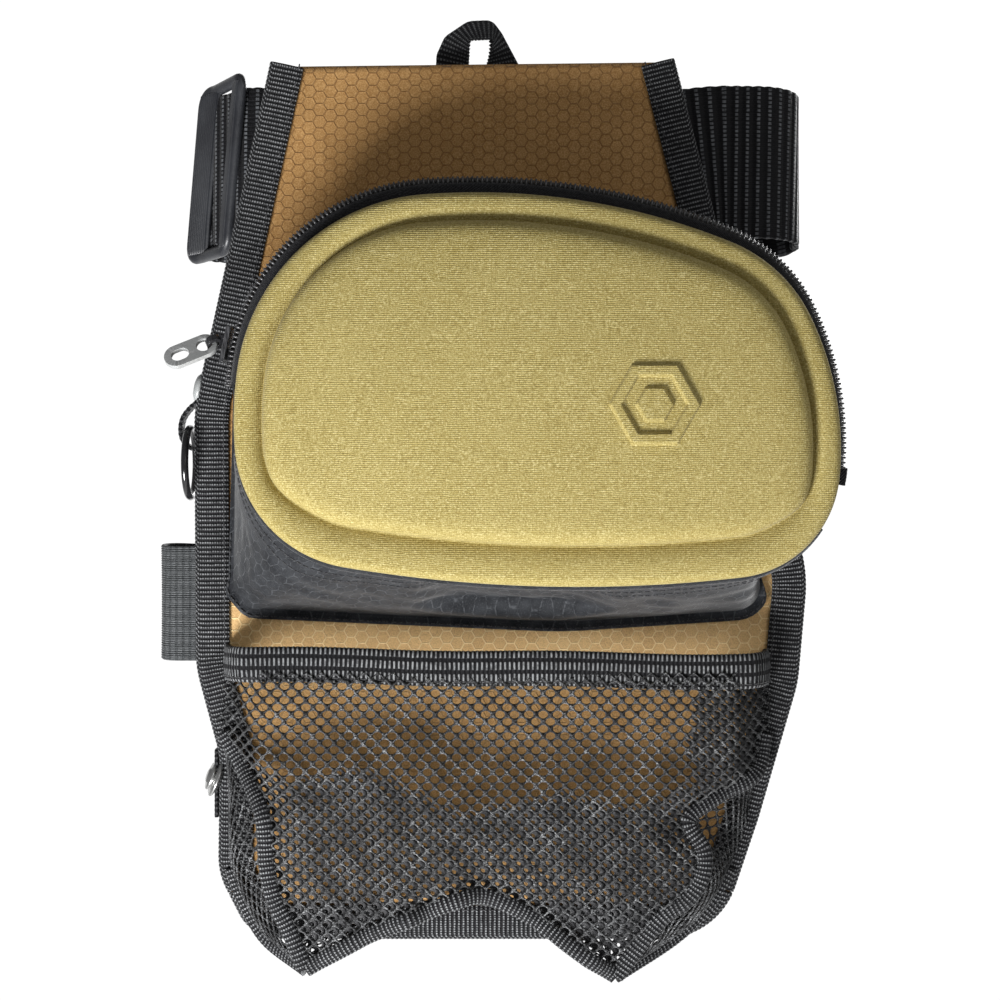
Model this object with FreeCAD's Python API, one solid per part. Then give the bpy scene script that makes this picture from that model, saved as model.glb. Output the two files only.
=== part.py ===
"""Belt-worn field pack: backpad, padded zip case with a moulded lid, mesh pocket, belt and hardware.

Frame, in millimetres: +Z up as worn, the front of the pack faces -Y, +X is to the right of someone who
faces the front.  The origin is the centre of the belt sleeve, on the rear face of the backpad.
Every soft piece is a plain closed solid of its real size and place.
"""
import FreeCAD, Part
import math
import os

from FreeCAD import Vector

os.makedirs("parts", exist_ok=True)

# ---------------------------------------------------------------- driving dimensions
TOUCH = 0.02                # gap between sewn pieces, so that no two solids share volume
CLEAR = 0.3                 # gap between pieces that only lie against each other
FAR = 400.0                 # reach of the boxes that cut a piece to length

# backpad: corners of the outline, clockwise from the top left as seen from the front, with radii
PAD_OUTLINE = [
    ((-74.0, 32.0), 3.0),
    ((56.0, 33.5), 3.0),
    ((98.9, -133.0), 45.0),
    ((95.8, -168.0), 40.0),
    ((83.0, -212.0), 60.0),
    ((70.0, -250.5), 24.0),
    ((-80.0, -250.5), 14.0),
    ((-90.5, -230.0), 22.0),
    ((-90.0, -192.0), 30.0),
    ((-97.8, -163.0), 40.0),
    ((-98.3, -79.0), 60.0),
]
PAD_THICKNESS = 6.0
FABRIC = 1.0                # thickness of each sewn fabric layer
BINDING_WIDTH = 10.0        # grosgrain tape folded over the backpad's edge
BINDING_THICKNESS = 1.0
BINDING_TOP_Z = 32.5
BINDING_BOTTOM_Z = -236.0   # where the side bindings give way to the bottom binding
SIDE_BINDING_INNER_X = (-62.0, 45.0)

# moulded lid: a closed run of tangent arcs, clockwise from the left side; the last two radii close it
LID_START = (-80.3, -93.5)
LID_HEADING = 94.5          # degrees from +X
LID_ARCS = [(13.0, 110.0), (77.0, 61.5), (26.5, 206.0), (42.5, 46.0), (31.0, 92.5), (78.0, 33.5)]
LID_CLOSING_TURNS = (16.0, 76.0)
LID_BACK_Y = -42.15
LID_RIM_Y = -50.0           # front of the raised rim
LID_FRONT_Y = -58.0         # front of the plateau
LID_WALL = 3.0
LID_LINER = 0.8
RIM_WIDTH = 7.0             # from the lid's edge to the pressed groove
PLATEAU_OFFSET = 10.5       # from the lid's edge to the plateau
GROOVE_DEPTH = 1.5
RIM_ROUND = 3.0
PLATEAU_ROUND = 4.5
EMBLEM_CENTRE = (46.0, -80.5)
EMBLEM_RADIUS = 14.0
EMBLEM_HEIGHT = 0.8

# case wall where it meets the backpad, clockwise from the top left
CASE_BASE = [
    ((-64.0, -9.0), 30.0),
    ((48.0, -9.0), 28.0),
    ((87.0, -145.0), 8.0),
    ((20.0, -151.0), 150.0),
    ((-81.6, -147.0), 2.0),
    ((-87.5, -140.0), 2.0),
    ((-87.5, -62.0), 40.0),
]
CASE_CENTRE = (5.0, -80.0)
CASE_FRONT_Y = -35.0        # front edge of the fabric wall, where the zip tape starts
CASE_WALL = 1.5
CASE_SAMPLES = 48           # stations around the wall
CASE_LINER = 1.2
CASE_LINER_INSET = 6.0      # clears the leaning wall at the lower corners

# zip
COIL_OFFSET = 2.2           # centre of the zip coil outside the zip's own outline
ZIP_SHIFT = (-0.6, 2.6)     # the case's mouth, and the zip with it, sits off the lid: left and upwards
COIL_WIDTH = 2.4
COIL_DEPTH = 1.4            # of each half, along Y
ZIP_Y = -39.6               # plane where the two halves of the coil meet
ZIP_GAP = 0.9
TAPE = 0.6
TAPE_INNER_OFFSET = -1.5    # the lid's tape is sewn under the lid's edge
ZIP_LEFT_END_Z = -104.0     # the zip runs over the top between these two heights
ZIP_RIGHT_END_Z = -99.0
HINGE_LEFT_X = -48.0        # span of the fabric hinge under the lid
HINGE_RIGHT_X = 84.0
HINGE_BOTTOM_OFFSET = 0.2

# slider, in its own frame: U away from the lid, V along the coil, Y across it
SLIDER_ANGLE = 168.0        # on the lid's top-left arc, degrees from +X
SLIDER_LENGTH = 11.0
SLIDER_WIDTH = 8.0
SLIDER_PLATE = 1.4
SLIDER_CLEAR = 0.5
SLIDER_POST = 0.5
SLIDER_FOOT = 2.6           # half length of the foot that carries the bridge
PIVOT_OUT = 6.4             # pull pivot, from the coil's centre
PULL_LENGTH = 16.0
PULL_WIDTH = 8.0
PULL_EYE_END = 5.6          # the opening around the bridge, along the pull
PULL_EYE_HALF = 2.4
PULL_OVAL = (8.2, 13.8)     # the oval hole near the tip, along the pull
PULL_OVAL_HALF = 2.1
PULL_THICKNESS = 1.6
PULL_DIRECTION = Vector(-0.90, -0.20, -0.39)
PULL_ACROSS = Vector(-0.434, 0.497, 0.745)
EYE_INNER = 1.35            # the bridge is a ring around the pull's end bar
EYE_OUTER = 2.5
EYE_THICKNESS = 2.2
PULL_BAR = 0.9

# mesh pocket: outline at the backpad and at the mesh front, clockwise from the top left
POCKET_BACK = [(-89.0, -155.5), (-88.0, -195.0), (-87.5, -228.0), (-72.0, -249.0),
               (60.0, -249.0), (76.0, -225.0), (83.0, -198.0), (90.0, -155.5)]
POCKET_FRONT = [(-86.0, -155.5), (-80.0, -195.0), (-73.0, -225.0), (-61.0, -257.0),
                (47.0, -257.0), (60.0, -238.0), (64.0, -212.0), (86.0, -155.5)]
POCKET_FRONT_Y = -25.0
MESH = 1.0
TOP_BINDING_HEIGHT = 11.5
TOP_BINDING_INSET = 6.5     # its ends stop inside the side gussets
SEAM_WIDTH = 5.0
SEAM_THICKNESS = 1.2

# belt, seen from above: the run through the sleeve, the stowed folds behind it and the buckle
BELT_WIDTH = 50.0
BELT_THICKNESS = 2.0
BELT_FRONT_Y = 4.0
BELT_LAYERS_Y = (34.0, 40.0, 46.0)
BELT_RIGHT_X = 85.0
BELT_LEFT_X = -80.0
STOW_LEFT_X = -60.0
STOW_RIGHT_X = 80.0
CORNER_RADIUS = 8.0
SLEEVE_X = (-45.0, 45.0)
SLEEVE_GAP = 6.2            # from the lining to the sleeve
SLEEVE_EDGE_Z = 26.0        # the sleeve is sewn down above and below this half height
SLEEVE_SEAM = 3.5
SLEEVE_THICKNESS = 1.2

# side-release buckle
BUCKLE_HEIGHT = 60.0
BUCKLE_THICKNESS = 8.6
FEMALE_LENGTH = 30.0
MALE_BASE = 9.0
BAR_RADIUS = 2.0
BAR_ARM = 2.0               # half thickness of the arms that carry a bar, along Y
BUCKLE_WALL = 2.0
MOUTH_WALL = 3.0            # above and below the female half's mouth
WINDOW_X = (-17.0, -7.0)    # side windows where the outer prongs latch
PRONGS_Z = ((-24.0, -17.0), (-4.0, 4.0), (17.0, 24.0))
KEEPER_OFFSET = 6.0         # keeper's left end, from the left fold of the stowed belt
KEEPER_WIDTH = 8.0
KEEPER_CLEAR = 0.6
KEEPER_THICKNESS = 1.2
LOOP_CLEAR = 0.2
FEMALE_BAR_X = -37.0
MALE_BAR_X = 16.5
RUN_END_X = 22.5            # the male half's loop ends here, the slack stretch starts
PRONG_LENGTH = 23.0

# tri-glide, across the slanted stretch of the belt at the left
GLIDE_HEIGHT = 58.0
GLIDE_BAR = 4.5
GLIDE_THICKNESS = 3.0

# elastic stay strap
ELASTIC_WIDTH = 38.0
ELASTIC_THICKNESS = 1.6
ELASTIC_Z = -143.0
ELASTIC_FRONT_Y = 3.0
ELASTIC_FOLD_X = -105.5
ELASTIC_FOLD_RADIUS = 6.5
ELASTIC_ANCHOR_X = 70.0
ELASTIC_END_X = 24.0
ANCHOR_WIDTH = 28.0
ANCHOR_BORDER = 2.0
HOOK_LENGTH = 22.0
HOOK_BORDER = 4.5
HOOK_SLOT_END = 7.0         # the strap's slot, the hook's throat and its gate, from the bar
HOOK_THROAT = (11.0, 17.0)
HOOK_GATE_Z = 4.0

# side hardware on the left edge
EDGE_X = -99.3              # outer face of the left binding beside the ring
RING_X = -101.1
RING_Y = -3.0
RING_RADIUS = 11.2          # centre of the wire
RING_WIRE = 1.2             # radius of the wire
RING_TOP_Z = -85.5
TAB_WIDTH = 6.5
TAB_THICKNESS = 1.2


# ---------------------------------------------------------------- general helpers
def box(low, high):
    size = [b - a for a, b in zip(low, high)]
    return Part.makeBox(size[0], size[1], size[2], Vector(*low))


def cylinder(centre, direction, radius, length):
    """Cylinder centred on a point."""
    axis = Vector(direction).normalize()
    return Part.makeCylinder(radius, length, Vector(centre) - axis * (length / 2), axis)


def prism(wire, y_from, y_to):
    """Solid between two planes, from a flat closed wire in the plane y = 0."""
    flat = wire.copy()
    flat.translate(Vector(0, y_from, 0))
    return Part.Face(flat).extrude(Vector(0, y_to - y_from, 0))


def polygon(points):
    corners = [Vector(x, 0, z) for x, z in points]
    return Part.makePolygon(corners + corners[:1])


def rounded_polygon(corners):
    """Closed wire through corners ((x, z), radius), each corner rounded by a tangent arc."""
    count = len(corners)
    stops = []
    for index, ((x, z), radius) in enumerate(corners):
        here = Vector(x, 0, z)
        before_x, before_z = corners[index - 1][0]
        after_x, after_z = corners[(index + 1) % count][0]
        before = (Vector(before_x, 0, before_z) - here).normalize()
        after = (Vector(after_x, 0, after_z) - here).normalize()
        half_angle = before.getAngle(after) / 2
        reach = radius / math.tan(half_angle)
        bisector = (before + after).normalize()
        middle = here + bisector * (radius / math.sin(half_angle) - radius)
        stops.append((here + before * reach, middle, here + after * reach))
    edges = []
    for index, (start, middle, end) in enumerate(stops):
        edges.append(Part.Arc(start, middle, end).toShape())
        edges.append(Part.makeLine(end, stops[(index + 1) % count][0]))
    return Part.Wire(edges)


def arc_chain(start, heading, arcs, closing_turns, grow):
    """Closed wire of tangent clockwise arcs (turn, radius); grow moves it outwards."""
    turns = [turn for turn, _ in arcs] + list(closing_turns)
    spans = []
    angle = math.radians(heading)
    for turn in turns:
        following = angle - math.radians(turn)
        spans.append((math.sin(angle) - math.sin(following), math.cos(following) - math.cos(angle)))
        angle = following
    radii = [radius for _, radius in arcs]
    short_x = -sum(span[0] * radius for span, radius in zip(spans, radii))
    short_z = -sum(span[1] * radius for span, radius in zip(spans, radii))
    (first_x, first_z), (second_x, second_z) = spans[-2], spans[-1]
    determinant = first_x * second_z - second_x * first_z
    radii.append((short_x * second_z - second_x * short_z) / determinant)
    radii.append((first_x * short_z - short_x * first_z) / determinant)
    angle = math.radians(heading)
    point = Vector(start[0], 0, start[1]) + Vector(-math.sin(angle), 0, math.cos(angle)) * grow
    first_point = point
    edges = []
    for index, (turn, radius) in enumerate(zip(turns, radii)):
        size = radius + grow
        centre = point - Vector(-math.sin(angle), 0, math.cos(angle)) * size
        half = angle - math.radians(turn) / 2
        angle -= math.radians(turn)
        middle = centre + Vector(-math.sin(half), 0, math.cos(half)) * size
        end = centre + Vector(-math.sin(angle), 0, math.cos(angle)) * size
        if index == len(turns) - 1:
            end = first_point
        edges.append(Part.Arc(point, middle, end).toShape())
        point = end
    return Part.Wire(edges)


def radial_stations(wire, centre, count):
    """Points of a wire around a centre, at evenly spaced directions."""
    samples = []
    for point in wire.discretize(40 * count):
        angle = math.atan2(point.z - centre[1], point.x - centre[0])
        samples.append((angle, math.hypot(point.x - centre[0], point.z - centre[1])))
    samples.sort()
    samples = [(samples[-1][0] - 2 * math.pi, samples[-1][1])] + samples
    samples.append((samples[1][0] + 2 * math.pi, samples[1][1]))
    stations = []
    cursor = 0
    for step in range(count):
        angle = -math.pi + 2 * math.pi * step / count
        while samples[cursor + 1][0] < angle:
            cursor += 1
        (low, low_radius), (high, high_radius) = samples[cursor], samples[cursor + 1]
        share = (angle - low) / (high - low) if high > low else 0.0
        radius = low_radius + share * (high_radius - low_radius)
        stations.append((centre[0] + radius * math.cos(angle), centre[1] + radius * math.sin(angle)))
    return stations


def strap(start, heading, moves, thickness, z_low, z_high):
    """Flat strap standing on edge: a path seen from above of ("go", length) and ("turn", degrees, radius).

    A positive turn is to the left.
    """
    angle = math.radians(heading)
    point = Vector(start[0], start[1], z_low)
    left_edges = []
    right_edges = []
    half = thickness / 2

    def side(place, direction, offset):
        return place + Vector(-math.sin(direction), math.cos(direction), 0) * offset

    first = (side(point, angle, half), side(point, angle, -half))
    for move in moves:
        if move[0] == "go":
            following = point + Vector(math.cos(angle), math.sin(angle), 0) * move[1]
            left_edges.append(Part.makeLine(side(point, angle, half), side(following, angle, half)))
            right_edges.append(Part.makeLine(side(point, angle, -half), side(following, angle, -half)))
            point = following
            continue
        turn = math.radians(move[1])
        hand = math.copysign(1, turn)
        centre = side(point, angle, hand * move[2])
        stops = []
        for part in (0.0, 0.5, 1.0):
            direction = angle + turn * part
            middle = side(centre, direction, -hand * move[2])
            stops.append((side(middle, direction, half), side(middle, direction, -half), middle))
        left_edges.append(Part.Arc(stops[0][0], stops[1][0], stops[2][0]).toShape())
        right_edges.append(Part.Arc(stops[0][1], stops[1][1], stops[2][1]).toShape())
        point = stops[2][2]
        angle += turn
    last = (side(point, angle, half), side(point, angle, -half))
    edges = left_edges + [Part.makeLine(last[0], last[1])] + right_edges + [Part.makeLine(*first)]
    wire = Part.Wire(Part.__sortEdges__(edges))
    return Part.Face(wire).extrude(Vector(0, 0, z_high - z_low))


def save(name, shape):
    solids = shape.Solids
    shape = solids[0] if len(solids) == 1 else Part.makeCompound(solids)
    bounds = shape.BoundBox
    print(f"{name:22s} solids {len(solids)} valid {shape.isValid()} volume {shape.Volume:9.1f}"
          f"  x {bounds.XMin:7.1f} {bounds.XMax:7.1f}  y {bounds.YMin:6.1f} {bounds.YMax:6.1f}"
          f"  z {bounds.ZMin:7.1f} {bounds.ZMax:7.1f}")
    shape.exportStep(f"parts/{name}.step")


def lid_outline(grow=0.0):
    return arc_chain(LID_START, LID_HEADING, LID_ARCS, LID_CLOSING_TURNS, grow)


def lid_band(inner, outer, y_from, y_to):
    """Ring that follows the lid's outline between two offsets, from y_from forwards to y_to."""
    return prism(lid_outline(outer), y_from, y_to).cut(prism(lid_outline(inner), y_from + 1, y_to - 1))


def above_zip_ends(shape):
    """The stretch of a ring that the zip covers, over the top between its two ends."""
    left = box((-FAR, -FAR, ZIP_LEFT_END_Z), (0, FAR, FAR))
    right = box((0, -FAR, ZIP_RIGHT_END_Z), (FAR, FAR, FAR))
    return shape.common(left.fuse(right))


def zip_outline(grow=0.0):
    """The lid's outline moved to where the zip runs."""
    wire = lid_outline(grow)
    wire.translate(Vector(ZIP_SHIFT[0], 0, ZIP_SHIFT[1]))
    return wire


def zip_band(inner, outer, y_from, y_to):
    """Ring that follows the zip between two offsets, from y_from forwards to y_to."""
    return prism(zip_outline(outer), y_from, y_to).cut(prism(zip_outline(inner), y_from + 1, y_to - 1))


# ---------------------------------------------------------------- backpad
def pad_outline(grow=0.0):
    wire = rounded_polygon(PAD_OUTLINE)
    return wire.makeOffset2D(grow) if grow else wire


def build_backpad():
    """Tan face, foam and rear lining as three flat layers of one outline."""
    face_back = -PAD_THICKNESS + FABRIC
    save("panel_face", prism(pad_outline(), face_back - TOUCH, -PAD_THICKNESS))
    save("foam_pad", prism(pad_outline(), -FABRIC - TOUCH, face_back))
    save("rear_lining", prism(pad_outline(), 0, -FABRIC))


def binding_ring():
    """Tape folded over the whole edge of the backpad."""
    rear = BINDING_THICKNESS
    front = -PAD_THICKNESS - BINDING_THICKNESS
    ring = prism(pad_outline(BINDING_THICKNESS), rear, front)
    ring = ring.cut(prism(pad_outline(TOUCH), TOUCH, -PAD_THICKNESS - TOUCH))
    return ring.cut(prism(pad_outline(-BINDING_WIDTH), rear + 1, front - 1))


def build_bindings():
    ring = binding_ring()
    joint_gap = 0.4
    left_x, right_x = SIDE_BINDING_INNER_X
    left = box((-FAR, -FAR, BINDING_BOTTOM_Z), (left_x, FAR, BINDING_TOP_Z))
    right = box((right_x, -FAR, BINDING_BOTTOM_Z), (FAR, FAR, BINDING_TOP_Z + joint_gap))
    bottom = box((-FAR, -FAR, -FAR), (FAR, FAR, BINDING_BOTTOM_Z - joint_gap))
    save("binding_left", ring.common(left))
    save("binding_right", ring.common(right))
    save("panel_bottom_binding", ring.common(bottom))


def build_grab_loop():
    """Short webbing loop sewn behind the top edge."""
    front = CLEAR
    back = front + 2.4
    foot_z = SLEEVE_EDGE_Z + SLEEVE_SEAM + CLEAR
    outer = rounded_polygon([
        ((-21.0, foot_z), 0.5),
        ((-21.0, 39.0), 7.0),
        ((-12.0, 46.8), 9.0),
        ((1.0, 46.8), 6.0),
        ((8.5, foot_z), 0.5),
    ])
    hole = rounded_polygon([
        ((-10.4, foot_z - 5), 0.5),
        ((-10.2, 41.0), 0.8),
        ((-1.8, 41.0), 0.8),
        ((-5.6, foot_z - 5), 0.5),
    ])
    save("grab_loop", prism(outer, back, front).cut(prism(hole, back + 1, front - 1)))


# ---------------------------------------------------------------- case and lid
def case_envelope(back_inset, front_grow, back_y, front_y):
    """Body between the wall's outline at the backpad and the lid's outline in front."""
    base = rounded_polygon(CASE_BASE)
    if back_inset:
        base = base.makeOffset2D(-back_inset)
    back = polygon(radial_stations(base, CASE_CENTRE, CASE_SAMPLES))
    front = polygon(radial_stations(zip_outline(front_grow), CASE_CENTRE, CASE_SAMPLES))
    back.translate(Vector(0, back_y, 0))
    front.translate(Vector(0, front_y, 0))
    return Part.makeLoft([back, front], True, True)


def build_case():
    back = -PAD_THICKNESS - TOUCH
    front_grow = COIL_OFFSET + COIL_WIDTH / 4
    wall = case_envelope(0.0, front_grow, back, CASE_FRONT_Y)
    hollow = case_envelope(CASE_WALL, front_grow - CASE_WALL, back + TOUCH, CASE_FRONT_Y - TOUCH)
    save("case_gusset", wall.cut(hollow).cut(binding_ring()))
    liner_outline = rounded_polygon(CASE_BASE).makeOffset2D(-CASE_LINER_INSET)
    liner = prism(liner_outline, back, back - CASE_LINER)
    save("case_rear_liner", liner.cut(binding_ring()))


def build_zip():
    """Tape and coil on both sides of the opening, and the tab that closes the right end."""
    inner = COIL_OFFSET - COIL_WIDTH / 2
    outer = COIL_OFFSET + COIL_WIDTH / 2
    case_coil_front = ZIP_Y + ZIP_GAP / 2
    case_coil_back = case_coil_front + COIL_DEPTH
    lid_coil_back = ZIP_Y - ZIP_GAP / 2
    lid_coil_front = lid_coil_back - COIL_DEPTH
    tape = zip_band(COIL_OFFSET - TAPE, COIL_OFFSET, CASE_FRONT_Y - TOUCH, case_coil_back + TOUCH)
    save("case_zip_tape", above_zip_ends(tape))
    save("case_zip_coil", above_zip_ends(zip_band(inner, outer, case_coil_back, case_coil_front)))
    save("lid_zip_coil", above_zip_ends(zip_band(inner, outer, lid_coil_back, lid_coil_front)))
    lid_tape = prism(zip_outline(outer), lid_coil_front - TOUCH, LID_BACK_Y + TOUCH)
    lid_tape = lid_tape.cut(prism(lid_outline(TAPE_INNER_OFFSET), lid_coil_front + 1, LID_BACK_Y - 1))
    save("lid_zip_tape", above_zip_ends(lid_tape))
    tab = zip_band(inner - 0.6, outer + 0.6, case_coil_back + 0.8, lid_coil_back)
    tab_top = ZIP_RIGHT_END_Z - TOUCH
    save("zip_end_tab", tab.common(box((60, -FAR, tab_top - 5), (FAR, FAR, tab_top))))


def build_lid():
    rim = prism(lid_outline(), LID_BACK_Y, LID_RIM_Y)
    front_edges = [edge for edge in rim.Edges if edge.BoundBox.YMax < LID_RIM_Y + 0.1]
    rim = rim.makeFillet(RIM_ROUND, front_edges)
    plateau = prism(lid_outline(-PLATEAU_OFFSET), LID_RIM_Y + 1, LID_FRONT_Y)
    front_edges = [edge for edge in plateau.Edges if edge.BoundBox.YMax < LID_FRONT_Y + 0.1]
    plateau = plateau.makeFillet(PLATEAU_ROUND, front_edges)
    groove = lid_band(-PLATEAU_OFFSET, -RIM_WIDTH, LID_RIM_Y + GROOVE_DEPTH, LID_RIM_Y - 1)
    step_y = LID_RIM_Y + GROOVE_DEPTH + LID_WALL - 0.6
    roof_y = LID_FRONT_Y + LID_WALL
    wide = prism(lid_outline(-LID_WALL), LID_BACK_Y + 1, step_y)
    deep = prism(lid_outline(-PLATEAU_OFFSET - LID_WALL), LID_BACK_Y + 1, roof_y)
    hollow = wide.fuse(deep)
    shell = rim.fuse(plateau).cut(groove).cut(hollow).fuse(build_emblem())
    save("lid_shell", shell)
    inset = LID_WALL + LID_LINER
    wide = prism(lid_outline(-inset), LID_BACK_Y + 1, step_y + LID_LINER)
    deep = prism(lid_outline(-PLATEAU_OFFSET - inset), LID_BACK_Y + 1, roof_y + LID_LINER)
    skin = prism(lid_outline(-LID_WALL - TOUCH), LID_BACK_Y, step_y + TOUCH)
    skin = skin.fuse(prism(lid_outline(-PLATEAU_OFFSET - LID_WALL - TOUCH), LID_BACK_Y, roof_y + TOUCH))
    save("lid_liner", skin.cut(wide.fuse(deep)))
    strip = lid_band(TAPE_INNER_OFFSET, HINGE_BOTTOM_OFFSET, ZIP_Y - ZIP_GAP, LID_BACK_Y + TOUCH)
    span = box((HINGE_LEFT_X, -FAR, -FAR), (HINGE_RIGHT_X, FAR, ZIP_LEFT_END_Z - 10))
    save("lid_hinge_strip", strip.common(span))


def hexagon(radius, turn=30.0):
    x, z = EMBLEM_CENTRE
    angles = [math.radians(turn + 60 * step) for step in range(6)]
    return polygon([(x + radius * math.cos(angle), z + radius * math.sin(angle)) for angle in angles])


def build_emblem():
    """Plain raised hexagon ring with a small hexagon inside it."""
    base = LID_FRONT_Y + 0.5
    top = LID_FRONT_Y - EMBLEM_HEIGHT
    ring = prism(hexagon(EMBLEM_RADIUS), base, top)
    ring = ring.cut(prism(hexagon(EMBLEM_RADIUS - 3.2), base + 1, top - 1))
    return ring.fuse(prism(hexagon(EMBLEM_RADIUS / 2.6), base, top))


# ---------------------------------------------------------------- slider and pull
def slider_arc_centre():
    """Centre and radius of the zip's top-left arc, on which the slider runs."""
    edge = zip_outline().Edges[1]
    return edge.Curve.Center, edge.Curve.Radius


def place_slider(shape):
    """Moves a shape from the slider's own frame (X away from the lid, Z along the coil) into place."""
    centre, radius = slider_arc_centre()
    shape = shape.copy()
    shape.translate(Vector(radius + COIL_OFFSET, 0, 0))
    shape.rotate(Vector(0, 0, 0), Vector(0, 1, 0), -SLIDER_ANGLE)
    shape.translate(Vector(centre.x, 0, centre.z))
    return shape


def pull_frame():
    """Pivot, length, width and face directions of the pull, as it hangs."""
    pivot = place_slider(Part.Vertex(PIVOT_OUT, ZIP_Y, 0)).Point
    along = Vector(PULL_DIRECTION).normalize()
    across = (PULL_ACROSS - along * PULL_ACROSS.dot(along)).normalize()
    return pivot, along, across, along.cross(across)


def oriented_slab(pivot, along, across, normal, span, half_width, thickness):
    """Flat plate with rounded ends between two distances along a direction."""
    start, end = span
    radius = min(half_width, (end - start) / 2)
    pieces = []
    for distance in (start + radius, end - radius):
        pieces.append(cylinder(pivot + along * distance, normal, radius, thickness))
    corner = pivot + along * (start + radius) - across * half_width - normal * (thickness / 2)
    length = end - start - 2 * radius
    if length > 0.01:
        wire = Part.makePolygon([
            corner,
            corner + along * length,
            corner + along * length + across * (2 * half_width),
            corner + across * (2 * half_width),
            corner,
        ])
        pieces.append(Part.Face(wire).extrude(normal * thickness))
    shape = pieces[0]
    for piece in pieces[1:]:
        shape = shape.fuse(piece)
    return shape.removeSplitter()


def build_slider():
    gap = COIL_WIDTH / 2 + SLIDER_CLEAR
    half = SLIDER_LENGTH / 2
    half_width = SLIDER_WIDTH / 2
    half_post = SLIDER_POST / 2
    outer_plate = box((gap, ZIP_Y - half_width, -half), (gap + SLIDER_PLATE, ZIP_Y + half_width, half))
    inner_plate = box((-gap - SLIDER_PLATE, ZIP_Y - half_post, -half), (-gap, CASE_FRONT_Y - CLEAR, half))
    post = box((-gap - SLIDER_PLATE, ZIP_Y - half_post, 1.0), (gap, ZIP_Y + half_post, half - 1.0))
    body = place_slider(outer_plate.fuse(inner_plate).fuse(post))
    pivot, _, across, _ = pull_frame()
    eye = cylinder(pivot, across, EYE_OUTER, EYE_THICKNESS)
    half_foot = EYE_THICKNESS / 2
    foot = box((gap, ZIP_Y - half_foot, -SLIDER_FOOT), (PIVOT_OUT - 1.2, ZIP_Y + half_foot, SLIDER_FOOT))
    foot = place_slider(foot)
    hole = cylinder(pivot, across, EYE_INNER, EYE_THICKNESS + 2 * CLEAR)
    swing_room = cylinder(pivot, across, EYE_OUTER + 1.6, FAR / 10)
    slot = swing_room.cut(cylinder(pivot, across, FAR / 10, EYE_THICKNESS))
    save("zip_slider", body.fuse(foot.cut(slot)).fuse(eye).cut(hole))


def build_pull():
    place = pull_frame()
    pivot, _, across, _ = place
    through = 4 * PULL_THICKNESS
    plate = oriented_slab(*place, (-PULL_BAR, PULL_LENGTH), PULL_WIDTH / 2, PULL_THICKNESS)
    eye = oriented_slab(*place, (PULL_BAR, PULL_EYE_END), PULL_EYE_HALF, through)
    oval = oriented_slab(*place, PULL_OVAL, PULL_OVAL_HALF, through)
    room = cylinder(pivot, across, EYE_OUTER + CLEAR, EYE_THICKNESS + 2 * CLEAR)
    room = room.cut(cylinder(pivot, across, PULL_BAR, FAR / 10))
    save("pull_tab", plate.cut(eye).cut(oval).cut(room))


# ---------------------------------------------------------------- mesh pocket
def pocket_envelope(inset):
    wires = []
    back_y = -PAD_THICKNESS - BINDING_THICKNESS - TOUCH
    for outline, depth in ((POCKET_BACK, back_y), (POCKET_FRONT, POCKET_FRONT_Y)):
        wire = polygon(outline)
        if inset:
            wire = wire.makeOffset2D(-inset, 2)
        wire.translate(Vector(0, depth, 0))
        wires.append(wire)
    return Part.makeLoft(wires, True, True)


def build_pocket():
    """Mesh front, side gussets and floor of the pocket, open at the top."""
    front_y = POCKET_FRONT_Y - TOUCH
    sheet_front = front_y - MESH
    sheet = prism(polygon(POCKET_FRONT), front_y, sheet_front)
    save("pocket_mesh_front", sheet)
    top_z = POCKET_FRONT[0][1]
    wall = pocket_envelope(0.0).cut(pocket_envelope(MESH))
    wall = wall.common(box((-FAR, -FAR, -FAR), (FAR, FAR, top_z - MESH - TOUCH)))
    left_x = POCKET_FRONT[3][0]
    right_x = POCKET_FRONT[4][0]
    save("pocket_gusset_left", wall.common(box((-FAR, -FAR, -FAR), (left_x, FAR, FAR))))
    save("pocket_gusset_right", wall.common(box((right_x, -FAR, -FAR), (FAR, FAR, FAR))))
    save("pocket_floor", wall.common(box((left_x + TOUCH, -FAR, -FAR), (right_x - TOUCH, FAR, FAR))))
    half_width = POCKET_FRONT[-1][0] - TOP_BINDING_INSET
    cover = box((-half_width, sheet_front - FABRIC, top_z - TOP_BINDING_HEIGHT),
                (half_width, front_y + FABRIC, top_z + FABRIC))
    room = box((-FAR, sheet_front - TOUCH, -FAR), (FAR, front_y + TOUCH, top_z + TOUCH))
    save("pocket_top_binding", cover.cut(room))
    seam = prism(polygon(POCKET_FRONT), sheet_front - TOUCH, sheet_front - SEAM_THICKNESS)
    inner = polygon(POCKET_FRONT).makeOffset2D(-SEAM_WIDTH, 2)
    seam = seam.cut(prism(inner, sheet_front + 1, sheet_front - SEAM_THICKNESS - 1))
    low = (-FAR, -FAR, -FAR)
    high_z = top_z - TOP_BINDING_HEIGHT - TOUCH
    save("pocket_seam_left", seam.common(box(low, (left_x, FAR, high_z))))
    save("pocket_seam_right", seam.common(box((right_x, -FAR, -FAR), (FAR, FAR, high_z))))
    middle = box((left_x + TOUCH, -FAR, -FAR), (right_x - TOUCH, FAR, high_z))
    save("pocket_seam_bottom", seam.common(middle))


# ---------------------------------------------------------------- belt
def bar_loop(bar_x, layer_y, half_width):
    """Webbing turned around a buckle's bar."""
    inner = BAR_RADIUS + LOOP_CLEAR
    outer = cylinder((bar_x, layer_y, 0), (0, 0, 1), inner + BELT_THICKNESS, 2 * half_width)
    return outer.cut(cylinder((bar_x, layer_y, 0), (0, 0, 1), inner, 2 * half_width + 2))


def belt_strap(start, heading, moves):
    half = BELT_WIDTH / 2
    return strap(start, heading, moves, BELT_THICKNESS, -half, half)


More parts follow.
